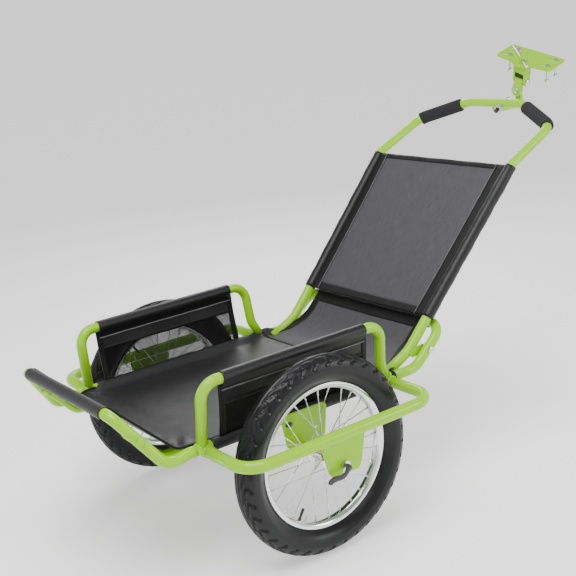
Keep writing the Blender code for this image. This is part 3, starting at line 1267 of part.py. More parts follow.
def set_origin_under_middle():
    """Moves the whole trailer so that the origin lies on the floor under its middle."""
    bpy.context.view_layer.update()
    graph = bpy.context.evaluated_depsgraph_get()
    corners = []
    for part in PARTS.objects:
        if part.type == "MESH":
            shown = part.evaluated_get(graph)
            corners += [shown.matrix_world @ Vector(corner) for corner in shown.bound_box]
    low = Vector([min(corner[axis] for corner in corners) for axis in range(3)])
    high = Vector([max(corner[axis] for corner in corners) for axis in range(3)])
    ROOT.location = (-(low.x + high.x) / 2, -(low.y + high.y) / 2, -low.z)


build_lip_and_loop()
for side_name, side_sign in SIDES.items():
    build_side_frame(side_name, side_sign)
    build_axle_group(side_name, side_sign)
    build_wheel(side_name, side_sign)
    build_quick_release(side_name, side_sign)
    build_walls(side_name, side_sign)
build_bed()
build_sling()
build_tongue()
build_plunger()
build_hitch()
build_stand()
set_origin_under_middle()
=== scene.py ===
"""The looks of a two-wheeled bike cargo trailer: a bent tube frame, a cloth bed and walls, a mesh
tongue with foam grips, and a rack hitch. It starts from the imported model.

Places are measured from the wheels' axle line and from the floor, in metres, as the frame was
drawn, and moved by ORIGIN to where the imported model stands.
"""

from math import atan2, cos, hypot, pi, radians, sin, tan

import bpy
import numpy as np
from mathutils import Matrix, Vector


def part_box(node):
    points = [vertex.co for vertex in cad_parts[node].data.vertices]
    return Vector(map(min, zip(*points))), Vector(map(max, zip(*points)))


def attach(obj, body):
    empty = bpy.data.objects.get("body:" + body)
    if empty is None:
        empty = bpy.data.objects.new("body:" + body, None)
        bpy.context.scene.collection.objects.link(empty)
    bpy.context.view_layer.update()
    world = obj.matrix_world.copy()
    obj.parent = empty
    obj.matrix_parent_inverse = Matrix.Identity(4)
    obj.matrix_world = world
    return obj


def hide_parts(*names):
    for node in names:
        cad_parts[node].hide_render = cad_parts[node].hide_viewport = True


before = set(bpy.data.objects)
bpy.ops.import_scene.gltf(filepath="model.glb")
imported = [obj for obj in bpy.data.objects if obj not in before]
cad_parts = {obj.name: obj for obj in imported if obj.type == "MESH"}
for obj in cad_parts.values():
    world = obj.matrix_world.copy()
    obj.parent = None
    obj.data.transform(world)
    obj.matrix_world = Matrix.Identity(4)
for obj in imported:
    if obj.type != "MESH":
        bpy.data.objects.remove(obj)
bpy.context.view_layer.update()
tyre_low, tyre_high = (np.array(corner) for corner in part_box("tyre_left"))
WHEEL_RADIUS = 0.203
ORIGIN = np.array([(tyre_low[0] + tyre_high[0]) / 2, 0.0, (tyre_low[2] + tyre_high[2]) / 2 - WHEEL_RADIUS])


# Camera. It stands to the right of the trailer's front lip, a little above it, and is rolled
# slightly, as the photograph was taken. Azimuth, height angle and roll are in degrees.
CAMERA_AZIMUTH = radians(-35.52693)
CAMERA_ELEVATION = radians(15.68552)
CAMERA_ROLL = radians(-5.55529)
CAMERA_PLACE = (-1.1595, -1.8603, 1.0899)
CAMERA_LENS = 68.0225
camera_data = bpy.data.cameras.new("camera")
camera_data.sensor_width = 36.0
camera_data.lens = CAMERA_LENS
camera_data.clip_start = 0.05
camera = bpy.data.objects.new("camera", camera_data)
bpy.context.scene.collection.objects.link(camera)
look_back = Vector((
    sin(CAMERA_AZIMUTH) * cos(CAMERA_ELEVATION),
    -cos(CAMERA_AZIMUTH) * cos(CAMERA_ELEVATION),
    sin(CAMERA_ELEVATION),
))
level = Vector((0, 0, 1)).cross(look_back).normalized()
upright = look_back.cross(level)
turned_right = cos(CAMERA_ROLL) * level + sin(CAMERA_ROLL) * upright
turned_up = -sin(CAMERA_ROLL) * level + cos(CAMERA_ROLL) * upright
camera_frame = Matrix((turned_right, turned_up, look_back)).transposed().to_4x4()
camera_frame.translation = Vector(CAMERA_PLACE) + Vector(ORIGIN)
camera.matrix_world = camera_frame
bpy.context.scene.camera = camera


# Floor and light. A pale studio floor that sweeps up far behind, lit a little from within, one
# soft light overhead, a fill from the camera's right, a rim light from behind and a pale room.
FLOOR_COLOUR = (0.93, 0.93, 0.93)
FLOOR_SHADE = (0.91, 0.91, 0.91)
FLOOR_REACH = 12.0
FLAT_FLOOR = 3.5
FLOOR_RISE = 0.07
FLOOR_GAP = 0.0005


def add(tree, kind, inputs=None, **settings):
    """A node with its settings, whose inputs are given values or are linked from other sockets."""
    made = tree.nodes.new(kind)
    for key, value in settings.items():
        setattr(made, key, value)
    for key, value in (inputs or {}).items():
        if isinstance(value, bpy.types.NodeSocket):
            tree.links.new(value, made.inputs[key])
        else:
            made.inputs[key].default_value = value
    return made


def surface(name, **uniform):
    """A new material and its Principled shader, with the values that are the same all over set."""
    made = bpy.data.materials.new(name)
    made.use_nodes = True
    shader = made.node_tree.nodes["Principled BSDF"]
    for key, value in uniform.items():
        shader.inputs[key.replace("_", " ")].default_value = value
    return made, made.node_tree, shader


def tinted(tree, shader, factor, dark, light):
    """The shader's colour goes from dark to light as a socket goes from 0 to 1."""
    tint = add(tree, "ShaderNodeMix", {"Factor": factor}, data_type="RGBA")
    tint.inputs["A"].default_value = (*dark, 1)
    tint.inputs["B"].default_value = (*light, 1)
    tree.links.new(tint.outputs["Result"], shader.inputs["Base Color"])


def grid_mesh(name, grid, around=False, closed=False, capped=False, uv=None):
    """A mesh from an array of points [rows, columns, xyz].

    Quads join neighbouring points. With closed the last row joins the first, with around the last
    column joins the first, and with capped a fan about the mean point shuts the first and last
    rows. uv is an array [rows + closed, columns + around, 2] of the cloth's own lengths.
    """
    rows, columns = grid.shape[:2]
    last_row = rows if closed else rows - 1
    last_column = columns if around else columns - 1
    row, column = (
        a.ravel() for a in np.meshgrid(np.arange(last_row), np.arange(last_column), indexing="ij"))
    corners = [(row, column), (row + 1, column), (row + 1, column + 1), (row, column + 1)]
    faces = np.stack([(r % rows) * columns + c % columns for r, c in corners], axis=1)
    points = grid.reshape(-1, 3)
    fans = []
    if capped:
        ring = np.arange(columns)
        following = (ring + 1) % columns
        count = len(points)
        points = np.vstack([points, grid[0].mean(axis=0), grid[-1].mean(axis=0)])
        top = (rows - 1) * columns
        fans += np.stack([ring, following, np.full(columns, count)], axis=1).tolist()
        fans += np.stack([top + following, top + ring, np.full(columns, count + 1)], axis=1).tolist()
    mesh = bpy.data.meshes.new(name)
    mesh.from_pydata(points.tolist(), [], faces.tolist() + fans)
    if uv is not None:
        flat = np.stack([uv[r, c] for r, c in corners], axis=1).reshape(-1, 2)
        spare = np.zeros((3 * len(fans), 2))
        layer = mesh.uv_layers.new(name="cloth")
        layer.data.foreach_set("uv", np.vstack([flat, spare]).ravel())
    mesh.polygons.foreach_set("use_smooth", np.ones(len(mesh.polygons), dtype=bool))
    mesh.update()
    return mesh


floor_paint, tree, shader = surface("studio_floor", Roughness=0.9, Emission_Strength=0.55)
shader.inputs["Emission Color"].default_value = (1, 1, 1, 1)
mottle = add(tree, "ShaderNodeTexNoise", {"Scale": 3.0, "Detail": 3.0})
tinted(tree, shader, mottle.outputs["Fac"], FLOOR_COLOUR, FLOOR_SHADE)
span = np.linspace(-FLOOR_REACH, FLOOR_REACH, 61)
floor_x, floor_y = np.meshgrid(span, span, indexing="ij")
sweep = FLOOR_RISE * np.maximum(np.hypot(floor_x, floor_y) - FLAT_FLOOR, 0) ** 2
floor_mesh = grid_mesh("floor", np.stack([floor_x, floor_y, sweep - FLOOR_GAP], axis=2))
floor_mesh.materials.append(floor_paint)
floor = bpy.data.objects.new("floor", floor_mesh)
bpy.context.scene.collection.objects.link(floor)


def area_light(name, place, aim, size, power):
    """A square soft light at a place, turned to face a point."""
    data = bpy.data.lights.new(name, "AREA")
    data.size = size
    data.energy = power
    light = bpy.data.objects.new(name, data)
    light.location = place
    light.rotation_euler = (Vector(aim) - Vector(place)).to_track_quat("-Z", "Y").to_euler()
    bpy.context.scene.collection.objects.link(light)


area_light("overhead", (-0.9, -0.6, 2.4), (0.0, 0.0, 0.3), 1.5, 75.0)
area_light("fill_right", (1.5, -2.0, 1.3), (0.1, 0.0, 0.4), 0.9, 22.0)
area_light("rim_light", (1.2, 1.8, 1.9), (0.0, 0.0, 0.4), 1.0, 26.0)
world = bpy.data.worlds.new("studio")
world.use_nodes = True
world.node_tree.nodes["Background"].inputs["Color"].default_value = (1.0, 1.0, 1.0, 1.0)
world.node_tree.nodes["Background"].inputs["Strength"].default_value = 0.5
bpy.context.scene.world = world


# Frame tubes. Round steel tube, 22 mm across and 24 mm for the two wheel guards, cold bent, welded
# and coated in one coat of glossy yellow-green powder that pools a little into an orange peel.
GREEN = (0.270, 0.560, 0.0)
GREEN_DARK = (GREEN[0] * 0.94, GREEN[1] * 0.94, GREEN[2])
GREEN_LIGHT = (GREEN[0] * 1.05, GREEN[1] * 1.04, GREEN[2])
TUBE = 0.011
GUARD_TUBE = 0.012
SIDE_Y = 0.228
BED_Z = 0.272
RAIL_Z = 0.402
RAIL_LEAN = 0.017
HOOP_FRONT, HOOP_REAR = -0.226, 0.236
GUARD_FRONT, GUARD_REAR = -0.218, 0.240
GUARD_Y = 0.368
GUARD_Z = 0.266
SIDES = (("left", 1), ("right", -1))


def rough_between(tree, shader, factor, low, high):
    """The shader's roughness goes from low to high as a socket goes from 0 to 1."""
    rough = add(tree, "ShaderNodeMapRange", {"Value": factor, "To Min": low, "To Max": high})
    tree.links.new(rough.outputs["Result"], shader.inputs["Roughness"])


def bumpy(tree, shader, height, strength, depth):
    """The surface seems to rise with a height socket, by up to strength times depth in metres."""
    bump = add(tree, "ShaderNodeBump", {"Height": height, "Strength": strength, "Distance": depth})
    tree.links.new(bump.outputs["Normal"], shader.inputs["Normal"])


def mottled(name, cloud, colours, gloss, grain=None, **uniform):
    """A surface whose colour and roughness drift with one soft noise, under a fine noise as grain.

    cloud is the soft noise's scale and detail, colours and gloss are the two ends of the drift,
    and grain is the fine noise's scale and detail, then its strength and depth as a bump.
    """
    made, tree, shader = surface(name, **uniform)
    place = add(tree, "ShaderNodeTexCoord").outputs["Object"]
    drift = add(tree, "ShaderNodeTexNoise", {"Vector": place, "Scale": cloud[0], "Detail": cloud[1]})
    tinted(tree, shader, drift.outputs["Fac"], *colours)
    rough_between(tree, shader, drift.outputs["Fac"], *gloss)
    if grain:
        scale, detail, strength, depth = grain
        fine = add(tree, "ShaderNodeTexNoise", {"Vector": place, "Scale": scale, "Detail": detail})
        bumpy(tree, shader, fine.outputs["Fac"], strength, depth)
    return made


powder_coat = mottled("powder_coat", (22.0, 3.0), (GREEN_DARK, GREEN_LIGHT), (0.17, 0.29),
                      (620.0, 1.0, 0.12, 0.0004), Specular_IOR_Level=0.30)


def bent_path(corners, radii, step=radians(3)):
    """Points of a bent tube's centre line: straight runs joined by an arc at each inner corner.

    An arc starts where the run has radius * tan(half the turn) left to the corner, and turns about
    a centre on the corner's bisector, at a distance of radius / cos(half the turn) from it.
    """
    corners = np.asarray(corners, dtype=float)
    pieces = [corners[:1]]
    for before, corner, after, radius in zip(corners, corners[1:], corners[2:], radii):
        first = (corner - before) / np.linalg.norm(corner - before)
        second = (after - corner) / np.linalg.norm(after - corner)
        turn = np.arccos(np.clip(first @ second, -1, 1))
        bisector = (second - first) / np.linalg.norm(second - first)
        centre = corner + bisector * radius / np.cos(turn / 2)
        spoke = corner - first * radius * np.tan(turn / 2) - centre
        angle = np.linspace(0, turn, max(3, int(turn / step)))[:, None]
        pieces.append(centre + spoke * np.cos(angle) + first * radius * np.sin(angle))
    return np.vstack(pieces + [corners[-1:]])


def frames_along(path):
    """Two unit directions across a path at each of its points, which turn as little as they can.

    Each first direction is the one before it, less its part along the path, made one unit long.
    Each second direction is square to the first and to the path.
    """
    ahead = np.gradient(path, axis=0)
    ahead /= np.linalg.norm(ahead, axis=1, keepdims=True)
    start = np.cross(ahead[0], (0.0, 0.0, 1.0) if abs(ahead[0][2]) < 0.9 else (1.0, 0.0, 0.0))
    sides = [start / np.linalg.norm(start)]
    for direction in ahead[1:]:
        side = sides[-1] - direction * (sides[-1] @ direction)
        sides.append(side / np.linalg.norm(side))
    sides = np.array(sides)
    return sides, np.cross(sides, ahead)


def tube_grid(path, radius, sides=28):
    """Rings round a path: centre + radius * (side * cos(angle) + up * sin(angle)).

    radius is one number, one for each point of the path, or one for each point and angle.
    """
    side, up = frames_along(path)
    angle = np.linspace(0, 2 * pi, sides, endpoint=False)
    spread = np.broadcast_to(np.asarray(radius, dtype=float).reshape(-1, 1)
                             if np.ndim(radius) == 1 else radius, (len(path), sides))
    ring = side[:, None] * np.cos(angle)[None, :, None] + up[:, None] * np.sin(angle)[None, :, None]
    return path[:, None] + ring * spread[..., None]


def piece(name, mesh, material, body, stands_for=()):
    """One finished piece: its mesh moved to ORIGIN, its material, and the body that carries it."""
    mesh.transform(Matrix.Translation(Vector(ORIGIN)))
    mesh.materials.append(material)
    made = bpy.data.objects.new(name, mesh)
    bpy.context.scene.collection.objects.link(made)
    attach(made, body)
    if stands_for:
        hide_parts(*stands_for)
    return made


def tube(name, path, radius, body, stands_for):
    """A bent and coated tube, closed flat at both ends."""
    mesh = grid_mesh(name, tube_grid(path, radius), around=True, capped=True)
    return piece(name, mesh, powder_coat, body, stands_for)


def other_side(corners):
    """The corners mirrored to the other side and reversed, to close a loop begun on the left."""
    return [(x, -y, z) for x, y, z in reversed(corners)]


def lean(height):
    """How far out a wall's hoop stands at a height."""
    return SIDE_Y + RAIL_LEAN * (height - BED_Z) / (RAIL_Z - BED_Z)


lip = [(-0.240, SIDE_Y, BED_Z), (-0.255, SIDE_Y, BED_Z), (-0.300, SIDE_Y, 0.262), (-0.378, 0.183, 0.372)]
lip_bends = [0.050, 0.035, 0.030]
tube("lip_frame", bent_path(lip + other_side(lip), lip_bends + lip_bends[::-1]), TUBE, "chassis",
     ["front_lip_tube"])
loop = [(0.243, SIDE_Y, BED_Z), (0.318, SIDE_Y, BED_Z), (0.405, SIDE_Y, 0.345)]
loop_bends = [0.050, 0.038]
tube("rear_frame", bent_path(loop + other_side(loop), loop_bends + loop_bends[::-1]), TUBE, "chassis",
     ["rear_loop_tube"])

for side, sign in SIDES:
    flip = np.array([1, sign, 1])
    rail = np.array([(-0.2397, SIDE_Y, BED_Z), (0.0, SIDE_Y, BED_Z), (0.2427, SIDE_Y, BED_Z)]) * flip
    tube("side_rail_" + side, rail, TUBE, "chassis", ["side_tube_" + side])
    hoop = [
        (HOOP_FRONT, lean(BED_Z), BED_Z), (-0.222, lean(RAIL_Z), RAIL_Z), (0.213, lean(RAIL_Z), RAIL_Z),
        (0.217, lean(0.312), 0.312), (HOOP_REAR, lean(BED_Z), BED_Z),
    ]
    tube("hoop_" + side, bent_path(np.array(hoop) * flip, [0.035, 0.035, 0.040]), TUBE, "chassis",
         ["wall_hoop_" + side])
    guard = [(GUARD_FRONT, SIDE_Y, GUARD_Z), (GUARD_FRONT, GUARD_Y, GUARD_Z),
             (GUARD_REAR, GUARD_Y, GUARD_Z), (GUARD_REAR, SIDE_Y, GUARD_Z)]
    tube("guard_" + side, bent_path(np.array(guard) * flip, [0.045, 0.055]), GUARD_TUBE, "chassis",
         ["wheel_guard_" + side])


# Weld beads where the hoop and guard feet meet the side tubes. Each is a ring of overlapping
# pools of weld metal, coated with the tubes.
WELD = 0.0021
WELD_LIFT = 0.0004
WELD_POOLS = 22


def weld(name, path):
    """A closed bead along a path, of radius WELD * (0.78 + 0.22 * |sin(pi * WELD_POOLS * share)|)."""
    ahead = np.roll(path, -1, axis=0) - np.roll(path, 1, axis=0)
    ahead /= np.linalg.norm(ahead, axis=1, keepdims=True)
    outward = path - path.mean(axis=0)
    outward -= ahead * (outward * ahead).sum(axis=1, keepdims=True)
    outward /= np.linalg.norm(outward, axis=1, keepdims=True)
    across = np.cross(outward, ahead)
    run = np.linspace(0, 1, len(path), endpoint=False)
    radius = WELD * (0.78 + 0.22 * np.abs(np.sin(pi * WELD_POOLS * run)))
    angle = np.linspace(0, 2 * pi, 10, endpoint=False)
    ring = outward[:, None] * np.cos(angle)[None, :, None] + across[:, None] * np.sin(angle)[None, :, None]
    grid = path[:, None] + ring * radius[:, None, None]
    bead = grid_mesh(name, grid, around=True, closed=True)
    return piece(name, bead, powder_coat, "chassis")


turn = np.linspace(0, 2 * pi, 132, endpoint=False)
for side, sign in SIDES:
    for place_name, foot_x in (("front", HOOP_FRONT), ("rear", HOOP_REAR - 0.0025)):
        off = TUBE * np.sin(turn)
        drop = np.sqrt(np.maximum((TUBE + WELD_LIFT) ** 2 - off ** 2, 0.0))
        path = np.stack([foot_x + TUBE * np.cos(turn), sign * (SIDE_Y + off), BED_Z + drop], axis=1)
        weld("hoop_weld_" + place_name + "_" + side, path)
    for place_name, foot_x in (("front", GUARD_FRONT), ("rear", GUARD_REAR)):
        off = GUARD_Z + GUARD_TUBE * np.sin(turn) - BED_Z
        reach = np.sqrt(np.maximum((TUBE + WELD_LIFT) ** 2 - off ** 2, 0.0))
        path = np.stack([foot_x + GUARD_TUBE * np.cos(turn), sign * (SIDE_Y + 0.002 + reach),
                         GUARD_Z + GUARD_TUBE * np.sin(turn)], axis=1)
        weld("guard_weld_" + place_name + "_" + side, path)


# Steel plates that carry the axles: one bracket inside each wheel and one plate outside it. Laser
# cut from 4 mm sheet, edges broken, coated like the tubes. They keep the model's own shapes.
def dress(nodes, material):
    """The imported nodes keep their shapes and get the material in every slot."""
    for node in nodes:
        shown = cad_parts[node]
        shown.data.materials.clear()
        shown.data.materials.append(material)


dress(["inner_bracket_left", "inner_bracket_right", "outer_axle_plate_left", "outer_axle_plate_right"],
      powder_coat)


# Axles and cones. Bright zinc-plated steel, turned, with fine lathe rings.
zinc = mottled("zinc_plate", (160.0, 3.0), ((0.52, 0.53, 0.55), (0.74, 0.73, 0.70)), (0.20, 0.38),
               Metallic=1.0)
tree = zinc.node_tree
place = add(tree, "ShaderNodeTexCoord").outputs["Object"]
lathe = add(tree, "ShaderNodeTexWave", {"Vector": place, "Scale": 900.0, "Distortion": 2.0},
            wave_type="BANDS", bands_direction="Y")
bumpy(tree, tree.nodes["Principled BSDF"], lathe.outputs["Fac"], 0.15, 0.0001)
dress([stem + "_" + side for stem in ("axle", "axle_cone_inner", "axle_cone_outer")
       for side in ("left", "right")], zinc)


# Tyres. Black 16 inch road tyres whose tread has curved grooves across each shoulder, a wavy
# groove through them and a thin one beside the middle. Two fine rings stand out of each sidewall.
WHEEL_Y = 0.2985
TYRE = 0.0265
RIM_EDGE = 0.1476
BEAD_ANGLE = radians(120)
TREAD_PITCH = 2 * pi / 38
GROOVE = 0.0040
RING = 0.0006
BEAD_HALF = 0.0118
rubber = mottled("tyre_rubber", (55.0, 4.0), ((0.003, 0.003, 0.004), (0.010, 0.010, 0.011)), (0.27, 0.44),
                 (1400.0, 2.0, 0.18, 0.0002), Specular_IOR_Level=0.26)


def wheel_points(radius, offset, angle, sign):
    """Points of a shape turned about the axle, from its radius, its distance from the wheel's
    middle plane, outward positive, and its angle round the axle."""
    return np.stack([
        radius * np.cos(angle), sign * (WHEEL_Y + offset) + 0 * angle, WHEEL_RADIUS + radius * np.sin(angle)
    ], axis=-1)


def smooth_step(value, low, high):
    """0 below low and 1 above high, with 3t^2 - 2t^3 between them."""
    t = np.clip((value - low) / (high - low), 0, 1)
    return t * t * (3 - 2 * t)


def tyre_grid(sign):
    """The tyre's skin from bead to bead, with share going from 0 in the middle to 1 at a bead.

    The shoulder grooves repeat each pitch round the wheel and follow TREAD_PITCH * (0.75 *
    sin(pi * t) + 1.9 * share), where t is a smooth step of share. The skin is a circle about
    the tyre's core, less the depth, which is 0 only on the lower ring of the sidewall.
    """
    around = np.linspace(0, 2 * pi, 864, endpoint=False)[:, None]
    section = np.linspace(BEAD_ANGLE, -BEAD_ANGLE, 61)[None, :]
    share = np.abs(section) / BEAD_ANGLE
    sweep = TREAD_PITCH * (0.75 * np.sin(pi * smooth_step(share, 0.10, 0.60)) + 1.9 * share)
    turned = around + (sweep + 0.25 * TREAD_PITCH) * np.sign(section)
    phase = (turned % TREAD_PITCH) / TREAD_PITCH
    band = 1 - smooth_step(np.abs(phase - 0.5), 0.08, 0.16)
    shoulder = smooth_step(share, 0.11, 0.15) * (1 - smooth_step(share, 0.55, 0.63))
    wavy_line = 0.30 + 0.045 * np.sin(2 * pi * around / TREAD_PITCH)
    wavy = 1 - smooth_step(np.abs(share - wavy_line), 0.014, 0.034)
    thin = np.maximum(1 - smooth_step(np.abs(share - 0.085), 0.012, 0.03), 0.8 * wavy)
    high_ring = 1 - smooth_step(np.abs(share - 0.66), 0.010, 0.022)
    low_ring = 1 - smooth_step(np.abs(share - 0.90), 0.010, 0.022)
    depth = GROOVE * np.maximum(band * shoulder, 0.5 * thin) - 0.0005 * high_ring - RING * low_ring + RING
    radius = WHEEL_RADIUS - TYRE + (TYRE - depth) * np.cos(section)
    offset = (TYRE - depth) * np.sin(section)
    return wheel_points(radius, offset, around + 0 * section, sign)


for side, sign in SIDES:
    skin = tyre_grid(sign)
    around = np.linspace(0, 2 * pi, 864, endpoint=False)[:, None]
    bead_offset = np.array([[-BEAD_HALF, BEAD_HALF]])
    bead = wheel_points(RIM_EDGE + 0.0006 + 0 * (around + bead_offset), bead_offset, around, sign)
    tyre_surface = np.concatenate([skin, bead], axis=1)
    tyre_mesh = grid_mesh("road_tyre_" + side, tyre_surface, around=True, closed=True)
    if sign < 0:
        tyre_mesh.flip_normals()
    piece("road_tyre_" + side, tyre_mesh, rubber, "wheel_" + side, ["tyre_" + side])


# Rims. Rolled steel rims with a polished chrome plating, hooked edges and a dropped well, turned
# from one closed profile whose second half mirrors the first.
chrome = mottled("chrome_plate", (30.0, 3.0), ((0.62, 0.63, 0.64), (0.82, 0.82, 0.81)), (0.07, 0.19),
                 (420.0, 2.0, 0.05, 0.0002), Metallic=1.0)


def turned_mesh(name, profile, sign, steps):
    """A ring turned about the axle from a closed profile of (radius, offset) points."""
    radius, offset = np.asarray(profile, dtype=float).T
    around = np.linspace(0, 2 * pi, steps, endpoint=False)[:, None]
    grid = wheel_points(radius + 0 * around, offset + 0 * around, around + 0 * radius, sign)
    mesh = grid_mesh(name, grid, around=True, closed=True)
    if sign < 0:
        mesh.flip_normals()
    return mesh


rim_half = [
    (0.1345, 0.0), (0.1345, 0.0042), (0.1356, 0.0064), (0.1378, 0.0092), (0.1400, 0.0112), (0.1428, 0.0123),
    (0.1462, 0.0125), (0.1474, 0.0120), (0.1476, 0.0112), (0.1470, 0.0106), (0.1452, 0.0103),
    (0.1424, 0.0100), (0.1408, 0.0084), (0.1402, 0.0040),
]
rim_profile = rim_half + [(radius, -offset) for radius, offset in rim_half[:0:-1]]
for side, sign in SIDES:
    rim_mesh = turned_mesh("wheel_rim_" + side, rim_profile, sign, 192)
    piece("wheel_rim_" + side, rim_mesh, chrome, "wheel_" + side, ["rim_" + side])


# Hubs, spokes and nipples. A polished hub shell with two flanges; 28 drawn spokes hook into its
# flanges in crossing pairs and screw into zinc-plated nipples that stand out of the rim.
FLANGE_OFFSET = 0.021
FLANGE_RADIUS = 0.022
RIM_FACE = 0.1338
SPOKES = 28
SPOKE = 0.0010
SPOKE_SLANT = radians(52)
hub_half = [
    (0.0052, 0.033), (0.0125, 0.033), (0.0130, 0.0325), (0.0130, 0.0262), (0.0136, 0.0246), (0.0210, 0.0229),
    (0.0220, 0.0222), (0.0220, 0.0198), (0.0210, 0.0192), (0.0145, 0.0172), (0.0118, 0.0146),
    (0.0108, 0.0100), (0.0106, 0.0),
]
hub_profile = hub_half + [(radius, -offset) for radius, offset in hub_half[-2::-1]]


def spoke_places():
    """The angles of each spoke's head at the rim and foot on a flange, and the side of its flange.

    Every second spoke belongs to the outer flange, and its foot trails its head by SPOKE_SLANT
    one way or the other, so that neighbours on one flange cross.
    """
    index = np.arange(SPOKES)
    flange = np.where(index % 2 == 1, 1, -1)
    head = 2 * pi * index / SPOKES
    slant = np.where((index // 2) % 2 == 0, 1, -1) * SPOKE_SLANT
    return head, head - slant, flange


def rods(starts, ends, stations, sides=8):
    """Many straight round rods with the same stations, each a share of the length and a radius."""
    stations = np.array(stations, dtype=float)
    run = ends - starts
    ahead = run / np.linalg.norm(run, axis=1, keepdims=True)
    across = np.cross(ahead, (0.0, 1.0, 0.0))
    across /= np.linalg.norm(across, axis=1, keepdims=True)
    over = np.cross(ahead, across)
    angle = np.linspace(0, 2 * pi, sides, endpoint=False)
    ring = across[:, None] * np.cos(angle)[None, :, None] + over[:, None] * np.sin(angle)[None, :, None]
    centre = starts[:, None] + run[:, None] * stations[None, :, 0, None]
    points = centre[:, :, None] + ring[:, None] * stations[None, :, 1, None, None]
    count, rows = points.shape[:2]
    rod, row, column = (a.ravel() for a in np.meshgrid(
        np.arange(count), np.arange(rows - 1), np.arange(sides), indexing="ij"))
    base = rod * rows * sides
    following = (column + 1) % sides
    faces = np.stack([base + row * sides + column, base + row * sides + following,
                      base + (row + 1) * sides + following, base + (row + 1) * sides + column], axis=1)
    ring_start = np.arange(count)[:, None] * rows * sides + np.arange(sides)[None, :]
    ends_list = ring_start[:, ::-1].tolist() + (ring_start + (rows - 1) * sides).tolist()
    return points.reshape(-1, 3), faces.tolist() + ends_list


def rods_mesh(name, parts):
    """One mesh of several sets of rods, smooth shaded."""
    points = []
    faces = []
    for part_points, part_faces in parts:
        shift = sum(len(p) for p in points)
        points.append(part_points)
        faces += [[corner + shift for corner in face] for face in part_faces]
    mesh = bpy.data.meshes.new(name)
    mesh.from_pydata(np.vstack(points).tolist(), [], faces)
    mesh.polygons.foreach_set("use_smooth", np.ones(len(mesh.polygons), dtype=bool))
    mesh.set_sharp_from_angle(angle=radians(40))
    return mesh


head_angle, foot_angle, flange = spoke_places()
for side, sign in SIDES:
    hub_mesh = turned_mesh("hub_shell_" + side, hub_profile, sign, 72)
    hub_mesh.set_sharp_from_angle(angle=radians(35))
    foot_offset = flange * (FLANGE_OFFSET + 0.0016)
    foot = wheel_points(FLANGE_RADIUS - 0.0025 + 0 * head_angle, foot_offset, foot_angle, sign)
    head = wheel_points(RIM_FACE + 0 * head_angle, flange * 0.0014, head_angle, sign)
    spokes = rods(foot, head, [(0, SPOKE), (1, SPOKE)])
    outward = sign * flange[:, None]
    heads = rods(foot + np.array([0, 1, 0]) * outward * 0.0006,
                 foot - np.array([0, 1, 0.001]) * outward * 0.0032, [(0, 0.0016), (1, 0.0016)])
    inward = head + (foot - head) * 0.085
    nipples = rods(head, inward, [(0, 0.0024), (0.16, 0.0024), (0.2, 0.0018), (0.92, 0.0018), (1.0, 0.0012)])
    piece("hub_shell_" + side, hub_mesh, chrome, "wheel_" + side, ["spoked_hub_" + side])
    for name, parts, material, slot in (("spokes_" + side, [spokes, heads], chrome, "chrome_plate"),
                                        ("nipples_" + side, [nipples], zinc, "zinc_steel")):
        piece(name, rods_mesh(name, parts), material, "wheel_" + side)


# Valves. A black stem with a narrow neck and a dust cap, pointing at the hub. Its plastic is also
# that of the levers, the plunger's knob, the bracket plugs and the stand's feet.
black_plastic = mottled("black_plastic", (90.0, 3.0), ((0.008, 0.008, 0.009), (0.022, 0.022, 0.023)),
                        (0.26, 0.42), (1800.0, 1.0, 0.15, 0.0002))
VALVE_TURN = radians(237.9)
VALVE = 0.0240
for side, sign in SIDES:
    aim = VALVE_TURN if sign < 0 else -VALVE_TURN
    start = wheel_points(np.array([RIM_FACE]), np.array([0.0]), np.array([aim]), sign)
    end = wheel_points(np.array([RIM_FACE - VALVE]), np.array([0.0]), np.array([aim]), sign)
    stem = rods(start, end, [(0, 0.0038), (0.10, 0.0036), (0.14, 0.0026), (0.42, 0.0026), (0.45, 0.0030),
                             (0.92, 0.0029), (1.0, 0.0020)], 16)
    piece("valve_stem_" + side, rods_mesh("valve_stem_" + side, [stem]), black_plastic,
          "wheel_" + side, ["valve_" + side])


# Cloth. The floor and the upper walls are black cloth with a satin plastic coating, and the lower
# walls, the sling and the back panel are woven from plastic-covered threads with open holes.
CLOTH = 0.0016
MESH = 0.0010
FIBRES = (900.0, 40.0, 1.0)


